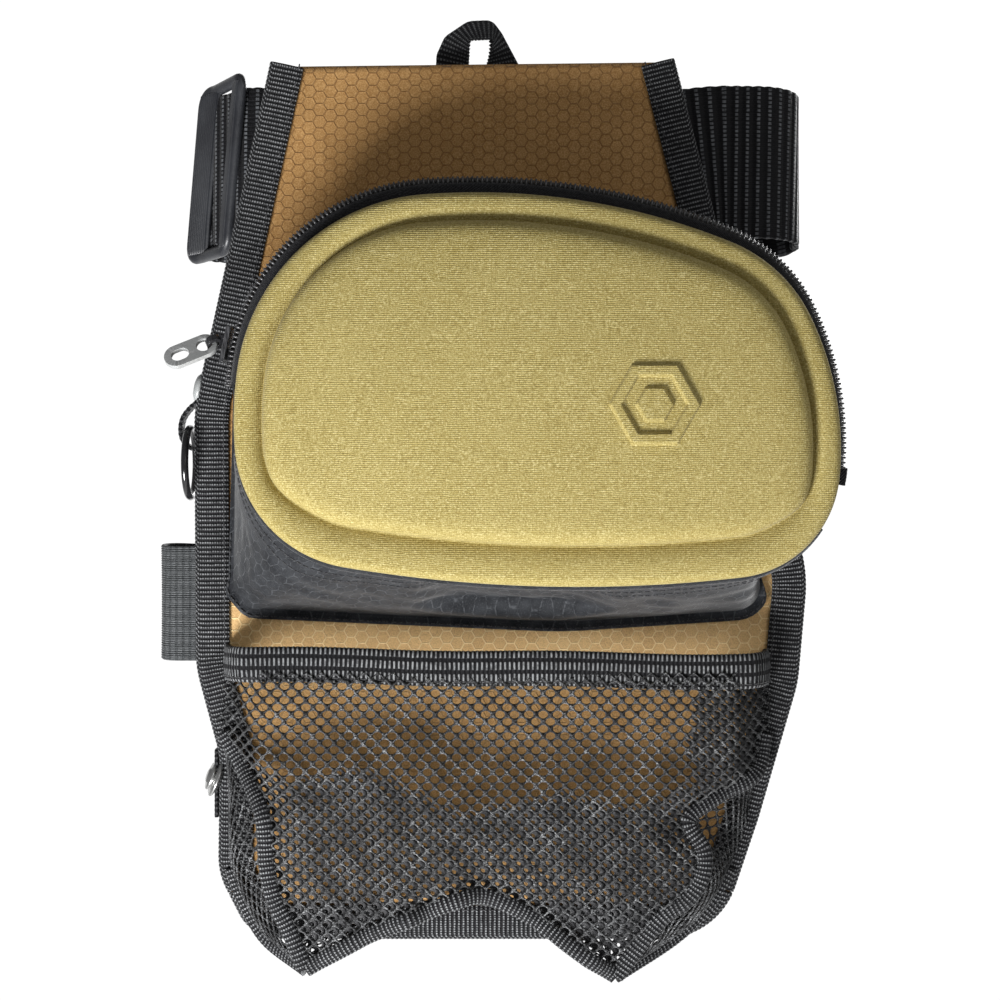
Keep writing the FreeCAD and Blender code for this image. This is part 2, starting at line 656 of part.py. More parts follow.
def slanted_length():
    """Stretch across the tri-glide, between the two corners at the left."""
    rear = BELT_LAYERS_Y[2]
    return (rear - BELT_FRONT_Y - 2 * CORNER_RADIUS) / math.cos(math.radians(30))


def build_belt():
    near, middle, rear = BELT_LAYERS_Y
    fold = (middle - near) / 2
    slant = slanted_length()
    slant_x = BELT_LEFT_X - CORNER_RADIUS * math.cos(math.radians(30)) - slant / 2
    rear_start_x = slant_x + CORNER_RADIUS * math.cos(math.radians(30))
    female_end = FEMALE_BAR_X - BAR_RADIUS - LOOP_CLEAR - BELT_THICKNESS / 2
    moves = [
        ("go", female_end - STOW_LEFT_X),
        ("turn", 180, fold),
        ("go", BELT_RIGHT_X - STOW_LEFT_X),
        ("turn", -180, (near - BELT_FRONT_Y) / 2),
        ("go", BELT_RIGHT_X - BELT_LEFT_X),
        ("turn", -60, CORNER_RADIUS),
        ("go", slant),
        ("turn", -120, CORNER_RADIUS),
        ("go", STOW_RIGHT_X - rear_start_x),
        ("turn", -180, fold),
    ]
    webbing = belt_strap((female_end, middle), 180, moves)
    save("belt_webbing", webbing.fuse(bar_loop(FEMALE_BAR_X, middle, BELT_WIDTH / 2)))
    slack = [("go", STOW_RIGHT_X - RUN_END_X)]
    save("belt_slack_run", belt_strap((STOW_RIGHT_X - TOUCH, middle), 180, slack))
    into_loop = [("go", RUN_END_X - MALE_BAR_X - BAR_RADIUS - 1.0)]
    tail = belt_strap((RUN_END_X - 2 * TOUCH, middle), 180, into_loop)
    save("buckle_male_loop", tail.fuse(bar_loop(MALE_BAR_X, middle, BELT_WIDTH / 2)))
    save_keeper(near - BELT_THICKNESS / 2, rear + BELT_THICKNESS / 2)


def save_keeper(front, back):
    """Closed band around the stowed folds."""
    left = STOW_LEFT_X + KEEPER_OFFSET
    right = left + KEEPER_WIDTH
    half = BELT_WIDTH / 2 + KEEPER_CLEAR
    front -= KEEPER_CLEAR
    back += KEEPER_CLEAR
    wall = KEEPER_THICKNESS
    outer = box((left, front - wall, -half - wall), (right, back + wall, half + wall))
    save("belt_keeper", outer.cut(box((left - 1, front, -half), (right + 1, back, half))))


def build_sleeve():
    """Fabric channel on the rear of the backpad, open at both ends."""
    left_x, right_x = SLEEVE_X
    top = SLEEVE_EDGE_Z + SLEEVE_SEAM
    cover = box((left_x, TOUCH, -top), (right_x, SLEEVE_GAP + SLEEVE_THICKNESS, top))
    channel = box((left_x - 1, 0, -SLEEVE_EDGE_Z), (right_x + 1, SLEEVE_GAP, SLEEVE_EDGE_Z))
    save("belt_sleeve", cover.cut(channel))


def build_tri_glide():
    """Frame across the slanted stretch: two bars outside the belt, one bar inside it."""
    slant = slanted_length()
    half = GLIDE_HEIGHT / 2
    rail = (GLIDE_HEIGHT - BELT_WIDTH) / 2 - 2 * CLEAR
    outside = BELT_THICKNESS / 2 + CLEAR
    frame = box((0, -GLIDE_THICKNESS / 2, half - rail), (slant, GLIDE_THICKNESS / 2, half))
    frame = frame.fuse(box((0, -GLIDE_THICKNESS / 2, -half), (slant, GLIDE_THICKNESS / 2, -half + rail)))
    for start in (0.0, slant - GLIDE_BAR):
        frame = frame.fuse(box((start, outside, -half), (start + GLIDE_BAR, outside + GLIDE_THICKNESS, half)))
    middle = (slant - GLIDE_BAR) / 2
    frame = frame.fuse(box((middle, -outside - GLIDE_THICKNESS, -half), (middle + GLIDE_BAR, -outside, half)))
    frame.rotate(Vector(0, 0, 0), Vector(0, 0, 1), 120)
    start_x = BELT_LEFT_X - CORNER_RADIUS * math.cos(math.radians(30))
    frame.translate(Vector(start_x, BELT_FRONT_Y + CORNER_RADIUS / 2, 0))
    save("belt_tri_glide", frame)


def build_buckle():
    """Side-release buckle; the prongs lie in the female half's mouth."""
    layer = BELT_LAYERS_Y[1]
    half_z = BUCKLE_HEIGHT / 2
    half_y = BUCKLE_THICKNESS / 2
    arm = (BUCKLE_HEIGHT - BELT_WIDTH) / 2 - 2 * CLEAR
    female = box((-FEMALE_LENGTH, layer - half_y, -half_z), (0, layer + half_y, half_z))
    mouth_y = half_y - BUCKLE_WALL
    mouth_z = half_z - MOUTH_WALL
    female = female.cut(box((-PRONG_LENGTH - 3, layer - mouth_y, -mouth_z), (1, layer + mouth_y, mouth_z)))
    window_left, window_right = WINDOW_X
    window = box((window_left, layer - mouth_y, -FAR), (window_right, layer + mouth_y, FAR))
    female = female.cut(window)
    bar_end = FEMALE_BAR_X - BAR_RADIUS
    for side in (-1, 1):
        inner, outer = sorted((side * (half_z - arm), side * half_z))
        female = female.fuse(box((bar_end, layer - BAR_ARM, inner), (-FEMALE_LENGTH, layer + BAR_ARM, outer)))
    female = female.fuse(cylinder((FEMALE_BAR_X, layer, 0), (0, 0, 1), BAR_RADIUS, BUCKLE_HEIGHT - arm))
    save("buckle_female", female)
    male_y = half_y - 2 * CLEAR
    male = box((0.5, layer - male_y, -half_z + 1), (MALE_BASE, layer + male_y, half_z - 1))
    prong_y = mouth_y - CLEAR
    for low, high in PRONGS_Z:
        male = male.fuse(box((-PRONG_LENGTH, layer - prong_y, low), (MALE_BASE, layer + prong_y, high)))
    bar_end = MALE_BAR_X + BAR_RADIUS
    for side in (-1, 1):
        inner, outer = sorted((side * (half_z - arm), side * (half_z - 1)))
        male = male.fuse(box((MALE_BASE - 1, layer - BAR_ARM, inner), (bar_end, layer + BAR_ARM, outer)))
    male = male.fuse(cylinder((MALE_BAR_X, layer, 0), (0, 0, 1), BAR_RADIUS, BUCKLE_HEIGHT - arm - 2))
    save("buckle_male", male)


# ---------------------------------------------------------------- elastic stay strap
def build_elastic():
    low = ELASTIC_Z - ELASTIC_WIDTH / 2
    high = ELASTIC_Z + ELASTIC_WIDTH / 2
    rear_y = ELASTIC_FRONT_Y + 2 * ELASTIC_FOLD_RADIUS
    moves = [
        ("go", ELASTIC_ANCHOR_X - ELASTIC_FOLD_X),
        ("turn", -180, ELASTIC_FOLD_RADIUS),
        ("go", ELASTIC_END_X - ELASTIC_FOLD_X),
    ]
    band = strap((ELASTIC_ANCHOR_X, ELASTIC_FRONT_Y), 180, moves, ELASTIC_THICKNESS, low, high)
    bore_radius = BAR_RADIUS + LOOP_CLEAR
    loop_x = ELASTIC_END_X + bore_radius + ELASTIC_THICKNESS / 2
    loop_centre = (loop_x, rear_y, ELASTIC_Z)
    outer = cylinder(loop_centre, (0, 0, 1), bore_radius + ELASTIC_THICKNESS, ELASTIC_WIDTH)
    bore = cylinder(loop_centre, (0, 0, 1), bore_radius, ELASTIC_WIDTH + 2)
    save("elastic_strap", band.fuse(outer).cut(bore))
    patch_front = ELASTIC_FRONT_Y - ELASTIC_THICKNESS / 2 - TOUCH
    patch_low = (ELASTIC_ANCHOR_X - ANCHOR_WIDTH, TOUCH, low - ANCHOR_BORDER)
    save("elastic_anchor", box(patch_low, (ELASTIC_ANCHOR_X, patch_front, high + ANCHOR_BORDER)))
    save_elastic_hook(loop_x, rear_y, low - 1, high + 1)


def save_elastic_hook(bar_x, layer, slot_low, slot_high):
    """Flat hook whose bar the strap turns around; its throat opens at the right through a gate."""
    half = ELASTIC_WIDTH / 2 + HOOK_BORDER
    throat_left, throat_right = HOOK_THROAT
    hook = box((bar_x - BAR_RADIUS, layer - BAR_ARM, ELASTIC_Z - half),
               (bar_x + HOOK_LENGTH, layer + BAR_ARM, ELASTIC_Z + half))
    slot = box((bar_x - FAR, layer - FAR, slot_low), (bar_x + HOOK_SLOT_END, layer + FAR, slot_high))
    throat = box((bar_x + throat_left, layer - FAR, slot_low), (bar_x + throat_right, layer + FAR, slot_high))
    gate = box((bar_x + throat_right - 1, layer - FAR, ELASTIC_Z + HOOK_GATE_Z),
               (bar_x + FAR, layer + FAR, slot_high))
    bar = cylinder((bar_x, layer, ELASTIC_Z), (0, 0, 1), BAR_RADIUS, 2 * half - 2)
    save("elastic_hook", hook.cut(slot).cut(throat).cut(gate).fuse(bar))


# ---------------------------------------------------------------- side hardware
def build_side_ring():
    ring_centre = Vector(RING_X, RING_Y, RING_TOP_Z - RING_RADIUS)
    save("side_ring", Part.makeTorus(RING_RADIUS, RING_WIRE, ring_centre, Vector(1, 0, 0)))
    inner = rounded_polygon([
        ((EDGE_X, RING_TOP_Z + 6.8), 0.5),
        ((RING_X - 1.75, RING_TOP_Z + 2.0), 1.8),
        ((RING_X - 1.75, RING_TOP_Z - 3.2), 1.8),
        ((EDGE_X, RING_TOP_Z - 6.0), 0.5),
    ])
    outer = inner.makeOffset2D(TAB_THICKNESS)
    tab = prism(outer, RING_Y - TAB_WIDTH / 2, RING_Y + TAB_WIDTH / 2)
    tab = tab.cut(prism(inner, RING_Y - TAB_WIDTH, RING_Y + TAB_WIDTH))
    save("ring_tab", tab.cut(prism(pad_outline(BINDING_THICKNESS + TOUCH), -FAR, FAR)))


def disc(centre, tilt, radius, thickness):
    """Flat round piece whose axis is -X, tilted about Y."""
    direction = Vector(-math.cos(math.radians(tilt)), 0, math.sin(math.radians(tilt)))
    start = Vector(*centre)
    return Part.makeCylinder(radius, thickness, start, direction)


def build_snaps():
    """Upper snap cap on the edge binding, and the lower snap closed on its short webbing tab."""
    edge = prism(pad_outline(BINDING_THICKNESS + TOUCH), -FAR, FAR)
    cap = disc((-96.6, -3.0, -72.6), 11.0, 4.9, 2.6)
    save("upper_snap", cap.cut(edge))
    tab_x = -91.6
    tab = box((tab_x - 1.2, -6.5, -212.0), (tab_x, 0.5, -190.0))
    save("lower_tab", tab.cut(edge))
    lower_y = -3.0
    lower_z = -200.0
    outer_face = tab_x - 1.2 - TOUCH
    cap = disc((outer_face, lower_y, lower_z), 0.0, 6.4, 1.6)
    dome = disc((outer_face - 1.6, lower_y, lower_z), 0.0, 4.6, 0.8)
    save("lower_snap", cap.fuse(dome))


def build_all():
    build_backpad()
    build_bindings()
    build_grab_loop()
    build_case()
    build_zip()
    build_lid()
    build_slider()
    build_pull()
    build_pocket()
    build_belt()
    build_sleeve()
    build_tri_glide()
    build_buckle()
    build_elastic()
    build_side_ring()
    build_snaps()


build_all()
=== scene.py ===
"""Looks of the field pack: backpad, padded zip case, mesh pocket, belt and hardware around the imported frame."""
import math

import bmesh
import bpy
import numpy as np
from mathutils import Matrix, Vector


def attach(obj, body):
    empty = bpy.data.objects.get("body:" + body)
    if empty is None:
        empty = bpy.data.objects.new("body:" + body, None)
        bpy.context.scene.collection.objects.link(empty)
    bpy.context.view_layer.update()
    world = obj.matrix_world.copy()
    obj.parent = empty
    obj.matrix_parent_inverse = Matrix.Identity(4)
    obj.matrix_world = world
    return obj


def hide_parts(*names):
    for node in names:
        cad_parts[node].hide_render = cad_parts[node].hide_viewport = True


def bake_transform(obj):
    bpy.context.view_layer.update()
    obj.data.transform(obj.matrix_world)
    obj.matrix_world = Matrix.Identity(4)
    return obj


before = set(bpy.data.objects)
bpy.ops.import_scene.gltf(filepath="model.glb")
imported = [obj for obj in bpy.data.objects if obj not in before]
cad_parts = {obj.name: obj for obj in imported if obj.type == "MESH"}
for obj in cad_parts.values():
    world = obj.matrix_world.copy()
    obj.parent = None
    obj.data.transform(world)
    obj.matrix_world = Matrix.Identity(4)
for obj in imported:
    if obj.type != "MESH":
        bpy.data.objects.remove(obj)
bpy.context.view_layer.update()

MM = 0.001


# ---------------------------------------------------------------- curves
def lengths_along(points):
    steps = np.linalg.norm(np.diff(points, axis=0), axis=1)
    return np.concatenate([[0.0], np.cumsum(steps)])


def resample(points, spacing, closed=False):
    """The same line with evenly spaced points."""
    points = np.asarray(points, dtype=float)
    if closed:
        points = np.vstack([points, points[:1]])
    along = lengths_along(points)
    count = max(int(round(along[-1] / spacing)), 2) + 1
    wanted = np.linspace(0, along[-1], count)
    out = np.stack([np.interp(wanted, along, column) for column in points.T], axis=1)
    return out[:-1] if closed else out


def rounded(corners, spacing, closed=True):
    """Line through ((x, z), radius) corners, each rounded by an arc, evenly spaced."""
    count = len(corners)
    points = []
    for index, (corner, radius) in enumerate(corners):
        here = np.array(corner, dtype=float)
        if not closed and index in (0, count - 1):
            points.append(here)
            continue
        before = np.array(corners[index - 1][0]) - here
        after = np.array(corners[(index + 1) % count][0]) - here
        before /= np.linalg.norm(before)
        after /= np.linalg.norm(after)
        half = math.acos(np.clip(before @ after, -1, 1)) / 2
        bisector = (before + after) / np.linalg.norm(before + after)
        centre = here + bisector * radius / math.sin(half)
        start = here + before * radius / math.tan(half) - centre
        end = here + after * radius / math.tan(half) - centre
        for share in np.linspace(0, 1, 16):
            spoke = start * (1 - share) + end * share
            points.append(centre + spoke / np.linalg.norm(spoke) * radius)
    return resample(np.array(points), spacing, closed)


def smooth_line(points, spacing, closed=False):
    """Catmull-Rom line through a few points, evenly spaced."""
    p = np.asarray(points, dtype=float)
    if closed:
        p = np.vstack([p[-1:], p, p[:2]])
    else:
        p = np.vstack([2 * p[:1] - p[1:2], p, 2 * p[-1:] - p[-2:-1]])
    t = np.linspace(0, 1, 24, endpoint=False)[:, None]
    parts = []
    for a, b, c, d in zip(p[:-3], p[1:-2], p[2:-1], p[3:]):
        square = 2 * a - 5 * b + 4 * c - d
        cube = 3 * b - a - 3 * c + d
        parts.append(0.5 * (2 * b + (c - a) * t + square * t ** 2 + cube * t ** 3))
    if not closed:
        parts.append(p[-2:-1])
    return resample(np.vstack(parts), spacing, closed)


def unit(vectors):
    return vectors / np.maximum(np.linalg.norm(vectors, axis=-1, keepdims=True), 1e-12)


def tangents(points, closed=False):
    if closed:
        return unit(np.roll(points, -1, axis=0) - np.roll(points, 1, axis=0))
    return unit(np.gradient(points, axis=0))


def side_normals(flat_line, closed=True):
    """Normals to the left of a line in the XZ plane, which is outwards on a clockwise outline."""
    step = tangents(flat_line, closed)
    return np.stack([-step[:, 1], step[:, 0]], axis=1)


def raised(flat, y):
    """(x, z) points in mm, placed at depth y in mm, as (x, y, z) in metres."""
    flat = np.asarray(flat, dtype=float)
    depth = np.broadcast_to(np.asarray(y, dtype=float), flat.shape[:-1])
    return np.stack([flat[..., 0], depth, flat[..., 1]], axis=-1) * MM


def ease(value, low, high):
    """0 below low, 1 above high, smooth between."""
    t = np.clip((np.asarray(value, dtype=float) - low) / (high - low), 0, 1)
    return t * t * (3 - 2 * t)


def waves(points, size, seed):
    """Smooth repeatable value, about -1 to 1, from crossed waves of the given size."""
    directions = np.random.default_rng(seed).normal(size=(7, points.shape[-1]))
    total = sum(np.sin(points @ way / size * 2.2 + 1.7 * index) for index, way in enumerate(directions))
    return total / 3.2


# ---------------------------------------------------------------- meshes
def mesh_object(name, vertices, faces, uv=None):
    """Smooth mesh object; uv has one pair per face corner."""
    mesh = bpy.data.meshes.new(name)
    mesh.from_pydata([tuple(v) for v in np.asarray(vertices)], [], [tuple(f) for f in faces])
    if uv is not None:
        layer = mesh.uv_layers.new(name="cloth")
        layer.data.foreach_set("uv", np.asarray(uv, dtype=np.float32).ravel())
    mesh.polygons.foreach_set("use_smooth", [True] * len(mesh.polygons))
    mesh.update()
    thing = bpy.data.objects.new(name, mesh)
    bpy.context.scene.collection.objects.link(thing)
    return thing


def surface(name, points, uv, wrap_rows=False, wrap_columns=False, merge=False):
    """Sheet through a grid of points; uv is a grid with one more row or column where it wraps.

    merge joins points that coincide, as at the middle of a disc.
    """
    rows, columns = points.shape[:2]
    i, j = np.meshgrid(np.arange(rows if wrap_rows else rows - 1),
                       np.arange(columns if wrap_columns else columns - 1), indexing="ij")
    corners = np.stack([[i, j], [i + 1, j], [i + 1, j + 1], [i, j + 1]], axis=0)
    corners = corners.transpose(2, 3, 0, 1).reshape(-1, 4, 2)
    faces = (corners[..., 0] % rows) * columns + corners[..., 1] % columns
    thing = mesh_object(name, points.reshape(-1, 3), faces, uv[corners[..., 0], corners[..., 1]])
    if merge:
        bm = bmesh.new()
        bm.from_mesh(thing.data)
        bmesh.ops.remove_doubles(bm, verts=bm.verts, dist=1e-7)
        bm.to_mesh(thing.data)
        bm.free()
    return thing


def mend(thing, caps=False):
    """Makes all faces of a closed mesh look outwards, after closing its open ends if asked."""
    bm = bmesh.new()
    bm.from_mesh(thing.data)
    if caps:
        open_edges = [edge for edge in bm.edges if edge.is_boundary]
        bmesh.ops.holes_fill(bm, edges=open_edges, sides=0)
    bmesh.ops.recalc_face_normals(bm, faces=bm.faces)
    bm.to_mesh(thing.data)
    bm.free()
    return thing


def band(name, path, across, normal, profile, ribs=None, closed=False, tilt=0.0):
    """Closed profile of (across, normal) points in metres, carried along a path.

    ribs is (pitch, height): the profile swells by that height once each pitch.
    """
    path, across, normal = (np.asarray(part, dtype=float) for part in (path, across, normal))
    profile = np.asarray(profile, dtype=float)
    along = lengths_along(path)
    outward = side_normals(profile)
    if np.mean(np.sum(outward * (profile - profile.mean(axis=0)), axis=1)) < 0:
        outward = -outward
    swell = np.zeros((len(path), len(profile)))
    if ribs:
        phase = along[:, None] / ribs[0] + tilt * profile[None, :, 0] / ribs[0]
        swell = ribs[1] * np.abs(np.sin(math.pi * phase))
    shape = profile[None] + outward[None] * swell[..., None]
    points = path[:, None] + across[:, None] * shape[..., :1] + normal[:, None] * shape[..., 1:]
    around = lengths_along(np.vstack([profile, profile[:1]]))
    if closed:
        along = np.append(along, along[-1] + np.linalg.norm(path[0] - path[-1]))
    uv = np.stack(np.meshgrid(around, along), axis=-1)
    thing = surface(name, points, uv, wrap_rows=closed, wrap_columns=True)
    return mend(thing, caps=not closed)


def tape_profile(width, thickness, crown=0.0, steps=13):
    """Flat tape with rounded edges, centred; crown lifts the middle of its front."""
    half = width / 2 - thickness / 2
    xs = np.linspace(-half, half, steps)
    front = [(x, thickness / 2 + crown * (1 - (x / half) ** 2)) for x in xs]
    turns = np.linspace(0, math.pi, 5)[1:-1]
    right = [(half + math.sin(a) * thickness / 2, math.cos(a) * thickness / 2) for a in turns]
    back = [(x, -thickness / 2) for x in xs[::-1]]
    left = [(-half - math.sin(a) * thickness / 2, -math.cos(a) * thickness / 2) for a in turns]
    return front + right + back + left


def merged(name, parts):
    """One object from several (vertices, faces) parts."""
    vertices = []
    faces = []
    for part_vertices, part_faces in parts:
        start = len(vertices)
        vertices.extend(part_vertices)
        faces.extend([[start + corner for corner in face] for face in part_faces])
    return mesh_object(name, vertices, faces)


def capsule(start, end, radius, sides=6):
    """Rounded bar between two points, as (vertices, faces)."""
    start = np.asarray(start, dtype=float)
    end = np.asarray(end, dtype=float)
    way = unit(end - start)
    helper = np.array([0.0, 0.0, 1.0]) if abs(way[2]) < 0.9 else np.array([1.0, 0.0, 0.0])
    side = unit(np.cross(way, helper))
    other = np.cross(way, side)
    rings = [(start, 0.35), (start + way * radius * 0.7, 1.0), (end - way * radius * 0.7, 1.0), (end, 0.35)]
    vertices = []
    for centre, share in rings:
        for step in range(sides):
            angle = 2 * math.pi * step / sides
            spoke = side * math.cos(angle) + other * math.sin(angle)
            vertices.append(centre + spoke * radius * share)
    faces = []
    for ring in range(len(rings) - 1):
        for step in range(sides):
            following = (step + 1) % sides
            low = ring * sides
            faces.append([low + step, low + following, low + sides + following, low + sides + step])
    faces.append(list(range(sides))[::-1])
    faces.append([3 * sides + step for step in range(sides)])
    return vertices, faces


def stitches(name, line, pitch=2.4, length=1.8, radius=0.24, closed=False, material=None, body="pack"):
    """Row of thread stitches that lie along a line of points in metres."""
    dots = resample(line, pitch * MM, closed)
    step = tangents(dots, closed) * length * MM / 2
    parts = [capsule(dot - move, dot + move, radius * MM) for dot, move in zip(dots, step)]
    thing = merged(name, parts)
    return finished(thing, material or THREAD, "webbing", body)


def bevelled(thing, width, segments=2, angle=32):
    """Small round edges on a hard part, whose vertices are first joined."""
    weld = thing.modifiers.new("weld", "WELD")
    weld.merge_threshold = 1e-6
    bevel = thing.modifiers.new("bevel", "BEVEL")
    bevel.width = width * MM
    bevel.segments = segments
    bevel.limit_method = "ANGLE"
    bevel.angle_limit = math.radians(angle)
    bevel.use_clamp_overlap = True
    smooth = thing.modifiers.new("weighted", "WEIGHTED_NORMAL")
    smooth.keep_sharp = False
    thing.data.polygons.foreach_set("use_smooth", [True] * len(thing.data.polygons))
    return thing


def thickened(thing, thickness, offset=-1.0, inner_slot=0):
    modifier = thing.modifiers.new("thickness", "SOLIDIFY")
    modifier.thickness = thickness * MM
    modifier.offset = offset
    modifier.material_offset = inner_slot
    modifier.material_offset_rim = 0
    return thing


def finished(thing, material, slot, body, *nodes):
    """Gives a piece its material, its body and the CAD nodes that it stands for; slot is not used."""
    thing.data.materials.clear()
    for each in material if isinstance(material, (list, tuple)) else [material]:
        thing.data.materials.append(each)
    if body:
        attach(thing, body)
    if nodes:
        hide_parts(*nodes)
    return thing


# ---------------------------------------------------------------- materials
CLOTH_SHINE = 0.12
PLASTIC_SHINE = 0.45


class Graph:
    """A material's nodes, with short calls for the sums that they do."""

    def __init__(self, name, roughness=0.7, **shader):
        self.material = bpy.data.materials.new(name)
        self.material.use_nodes = True
        self.tree = self.material.node_tree
        self.shader = self.tree.nodes["Principled BSDF"]
        self.shader.inputs["Roughness"].default_value = roughness
        self.shader.inputs["Specular IOR Level"].default_value = CLOTH_SHINE
        for key, value in shader.items():
            self.shader.inputs[key.replace("_", " ")].default_value = value
        self.place = self.tree.nodes.new("ShaderNodeTexCoord")

    def node(self, kind, *inputs, **settings):
        node = self.tree.nodes.new("ShaderNode" + kind)
        for key, value in settings.items():
            setattr(node, key, value)
        for index, value in enumerate(inputs):
            self.put(node.inputs[index], value)
        return node

    def put(self, socket, value):
        if isinstance(value, bpy.types.NodeSocket):
            self.tree.links.new(value, socket)
        elif value is not None:
            socket.default_value = value

    def math(self, operation, *values, clamp=False):
        return self.node("Math", *values, operation=operation, use_clamp=clamp).outputs[0]

    def vector(self, operation, *values):
        node = self.node("VectorMath", *values, operation=operation)
        return node.outputs["Value" if operation in ("LENGTH", "DOT_PRODUCT") else "Vector"]

    def scaled(self, source, x, y=None, z=None):
        """Coordinates times a number for each axis."""
        return self.vector("MULTIPLY", source, (x, x if y is None else y, x if z is None else z))

    def split(self, vector):
        return self.node("SeparateXYZ", vector).outputs

    def join(self, x, y, z=0.0):
        return self.node("CombineXYZ", x, y, z).outputs[0]

    def noise(self, source, per_mm, detail=3.0, roughness=0.55):
        node = self.node("TexNoise", self.scaled(source, 1000 * per_mm))
        node.inputs["Scale"].default_value = 1.0
        node.inputs["Detail"].default_value = detail
        node.inputs["Roughness"].default_value = roughness
        return node.outputs["Fac"]

    def step(self, value, low, high, out_low=0.0, out_high=1.0):
        """Smooth step from out_low at low to out_high at high."""
        node = self.node("MapRange", interpolation_type="SMOOTHSTEP")
        for key, number in (("Value", value), ("From Min", low), ("From Max", high),
                            ("To Min", out_low), ("To Max", out_high)):
            self.put(node.inputs[key], number)
        return node.outputs[0]

    def mix(self, share, first, second):
        node = self.node("Mix", data_type="RGBA", clamp_factor=True)
        self.put(node.inputs["Factor"], share)
        for index, value in ((6, first), (7, second)):
            self.put(node.inputs[index], value if isinstance(value, bpy.types.NodeSocket) else (*value, 1.0))
        return node.outputs[2]

    def wave(self, value, period):
        """0 to 1 and back, once each period."""
        turn = self.math("MULTIPLY", value, 2 * math.pi / period)
        return self.math("MULTIPLY_ADD", self.math("COSINE", turn), -0.5, 0.5)

    def paint(self, colour, height=None, bump_mm=0.2, roughness=None, sheen=None):
        self.put(self.shader.inputs["Base Color"], colour)
        if roughness is not None:
            self.put(self.shader.inputs["Roughness"], roughness)
        if sheen is not None:
            self.shader.inputs["Sheen Weight"].default_value = sheen
            self.shader.inputs["Sheen Roughness"].default_value = 0.45
        if height is not None:
            bump = self.node("Bump")
            bump.inputs["Strength"].default_value = 1.0
            bump.inputs["Distance"].default_value = bump_mm * MM
            self.put(bump.inputs["Height"], height)
            self.put(self.shader.inputs["Normal"], bump.outputs[0])
        return self.material

    @property
    def spot(self):
        return self.place.outputs["Object"]

    @property
    def cloth(self):
        return self.place.outputs["UV"]


HEX_SIDE = 2.3 * MM          # side of the ripstop's hexagons, which stand on flat edges
HEX_LINE = 0.17 * MM         # half the width of the raised thread between them


def hexagons(graph, flat):
    """Distance to the nearest hexagon edge, and a value of its own for each hexagon."""
    width = 3 * HEX_SIDE
    height = math.sqrt(3) * HEX_SIDE
    halves = (width / 2, height / 2, 0.5)
    lattices = []
    for shift in ((0.0, 0.0, 0.0), (width / 2, height / 2, 0.0)):
        moved = graph.vector("ADD", flat, shift)
        wrapped = graph.node("VectorMath", moved, halves, tuple(-h for h in halves), operation="WRAP").outputs[0]
        lattices.append(wrapped)
    shorter = graph.math("LESS_THAN", graph.vector("LENGTH", lattices[0]), graph.vector("LENGTH", lattices[1]))
    pick = graph.node("Mix", data_type="VECTOR")
    graph.put(pick.inputs["Factor"], shorter)
    graph.put(pick.inputs[4], lattices[1])
    graph.put(pick.inputs[5], lattices[0])
    local = pick.outputs[1]
    x, y, _ = graph.split(graph.vector("ABSOLUTE", local))
    slanted = graph.math("ADD", graph.math("MULTIPLY", x, math.sqrt(3) / 2), graph.math("MULTIPLY", y, 0.5))
    distance = graph.math("SUBTRACT", height / 2, graph.math("MAXIMUM", slanted, y))
    own = graph.node("TexWhiteNoise", graph.vector("SNAP", graph.vector("SUBTRACT", flat, local), (1e-4,) * 3))
    own.noise_dimensions = "3D"
    return distance, own.outputs["Value"]


def plain_weave(graph, flat, pitch):
    """Height of a fine plain weave."""
    x, y, _ = graph.split(flat)
    return graph.math("MULTIPLY", graph.wave(x, pitch * MM), graph.wave(y, pitch * MM))


def ripstop_tan():
    """Tan ripstop: dark threads at the top of the panel; at the bottom cloth whose sandier tone is partly its own and
    partly painted paler as light from below, with near-white threads that are painted highlights.
    """
    g = Graph("ripstop_tan", roughness=0.62)
    x, _, z = g.split(g.spot)
    flat = g.join(x, z)
    distance, own = hexagons(g, flat)
    wobble = g.math("MULTIPLY", g.math("SUBTRACT", g.noise(g.spot, 0.9), 0.5), 0.12 * MM)
    line = g.step(g.math("ADD", distance, wobble), HEX_LINE * 0.4, HEX_LINE * 1.9, 1.0, 0.0)
    # low: 1 at the bottom, where the cloth is partly sandier in its own tone and partly painted paler as light falling
    # from below
    low = g.math("MULTIPLY", g.step(z, -0.148, -0.115, 1.0, 0.0), g.step(z, -0.174, -0.160, 0.15, 1.0))
    patchy = g.noise(g.spot, 0.03, 2.0)
    grain = g.noise(g.spot, 2.6, 2.0)
    brown = g.mix(g.step(patchy, 0.3, 0.7), (0.375, 0.195, 0.062), (0.435, 0.235, 0.082))
    sand = g.mix(g.step(patchy, 0.3, 0.7), (0.680, 0.440, 0.200), (0.730, 0.490, 0.230))
    cloth = g.mix(low, brown, sand)
    cloth = g.mix(g.math("MULTIPLY", g.step(own, 0.0, 1.0), 0.16), cloth, (0.230, 0.110, 0.035))
    cloth = g.mix(g.step(grain, 0.35, 0.75, 0.0, 0.35), cloth, (0.20, 0.10, 0.03))
    cloth = g.mix(g.step(grain, 0.62, 0.30, 0.0, 0.30), cloth, (0.78, 0.52, 0.24))
    # the near-white threads at the bottom are painted highlights where the light falls
    thread = g.mix(low, (0.185, 0.085, 0.026), (0.960, 0.780, 0.430))
    faded = g.step(g.noise(g.spot, 0.35), 0.3, 0.6, 0.55, 1.0)
    colour = g.mix(g.math("MULTIPLY", g.math("MULTIPLY", line, faded), 0.62), cloth, thread)
    weave = g.math("MULTIPLY", plain_weave(g, flat, 0.42), 0.35)
    height = g.math("ADD", g.math("MULTIPLY", line, 0.9), weave)
    return g.paint(colour, height, 0.16, g.step(grain, 0.2, 0.8, 0.55, 0.72), 0.25)


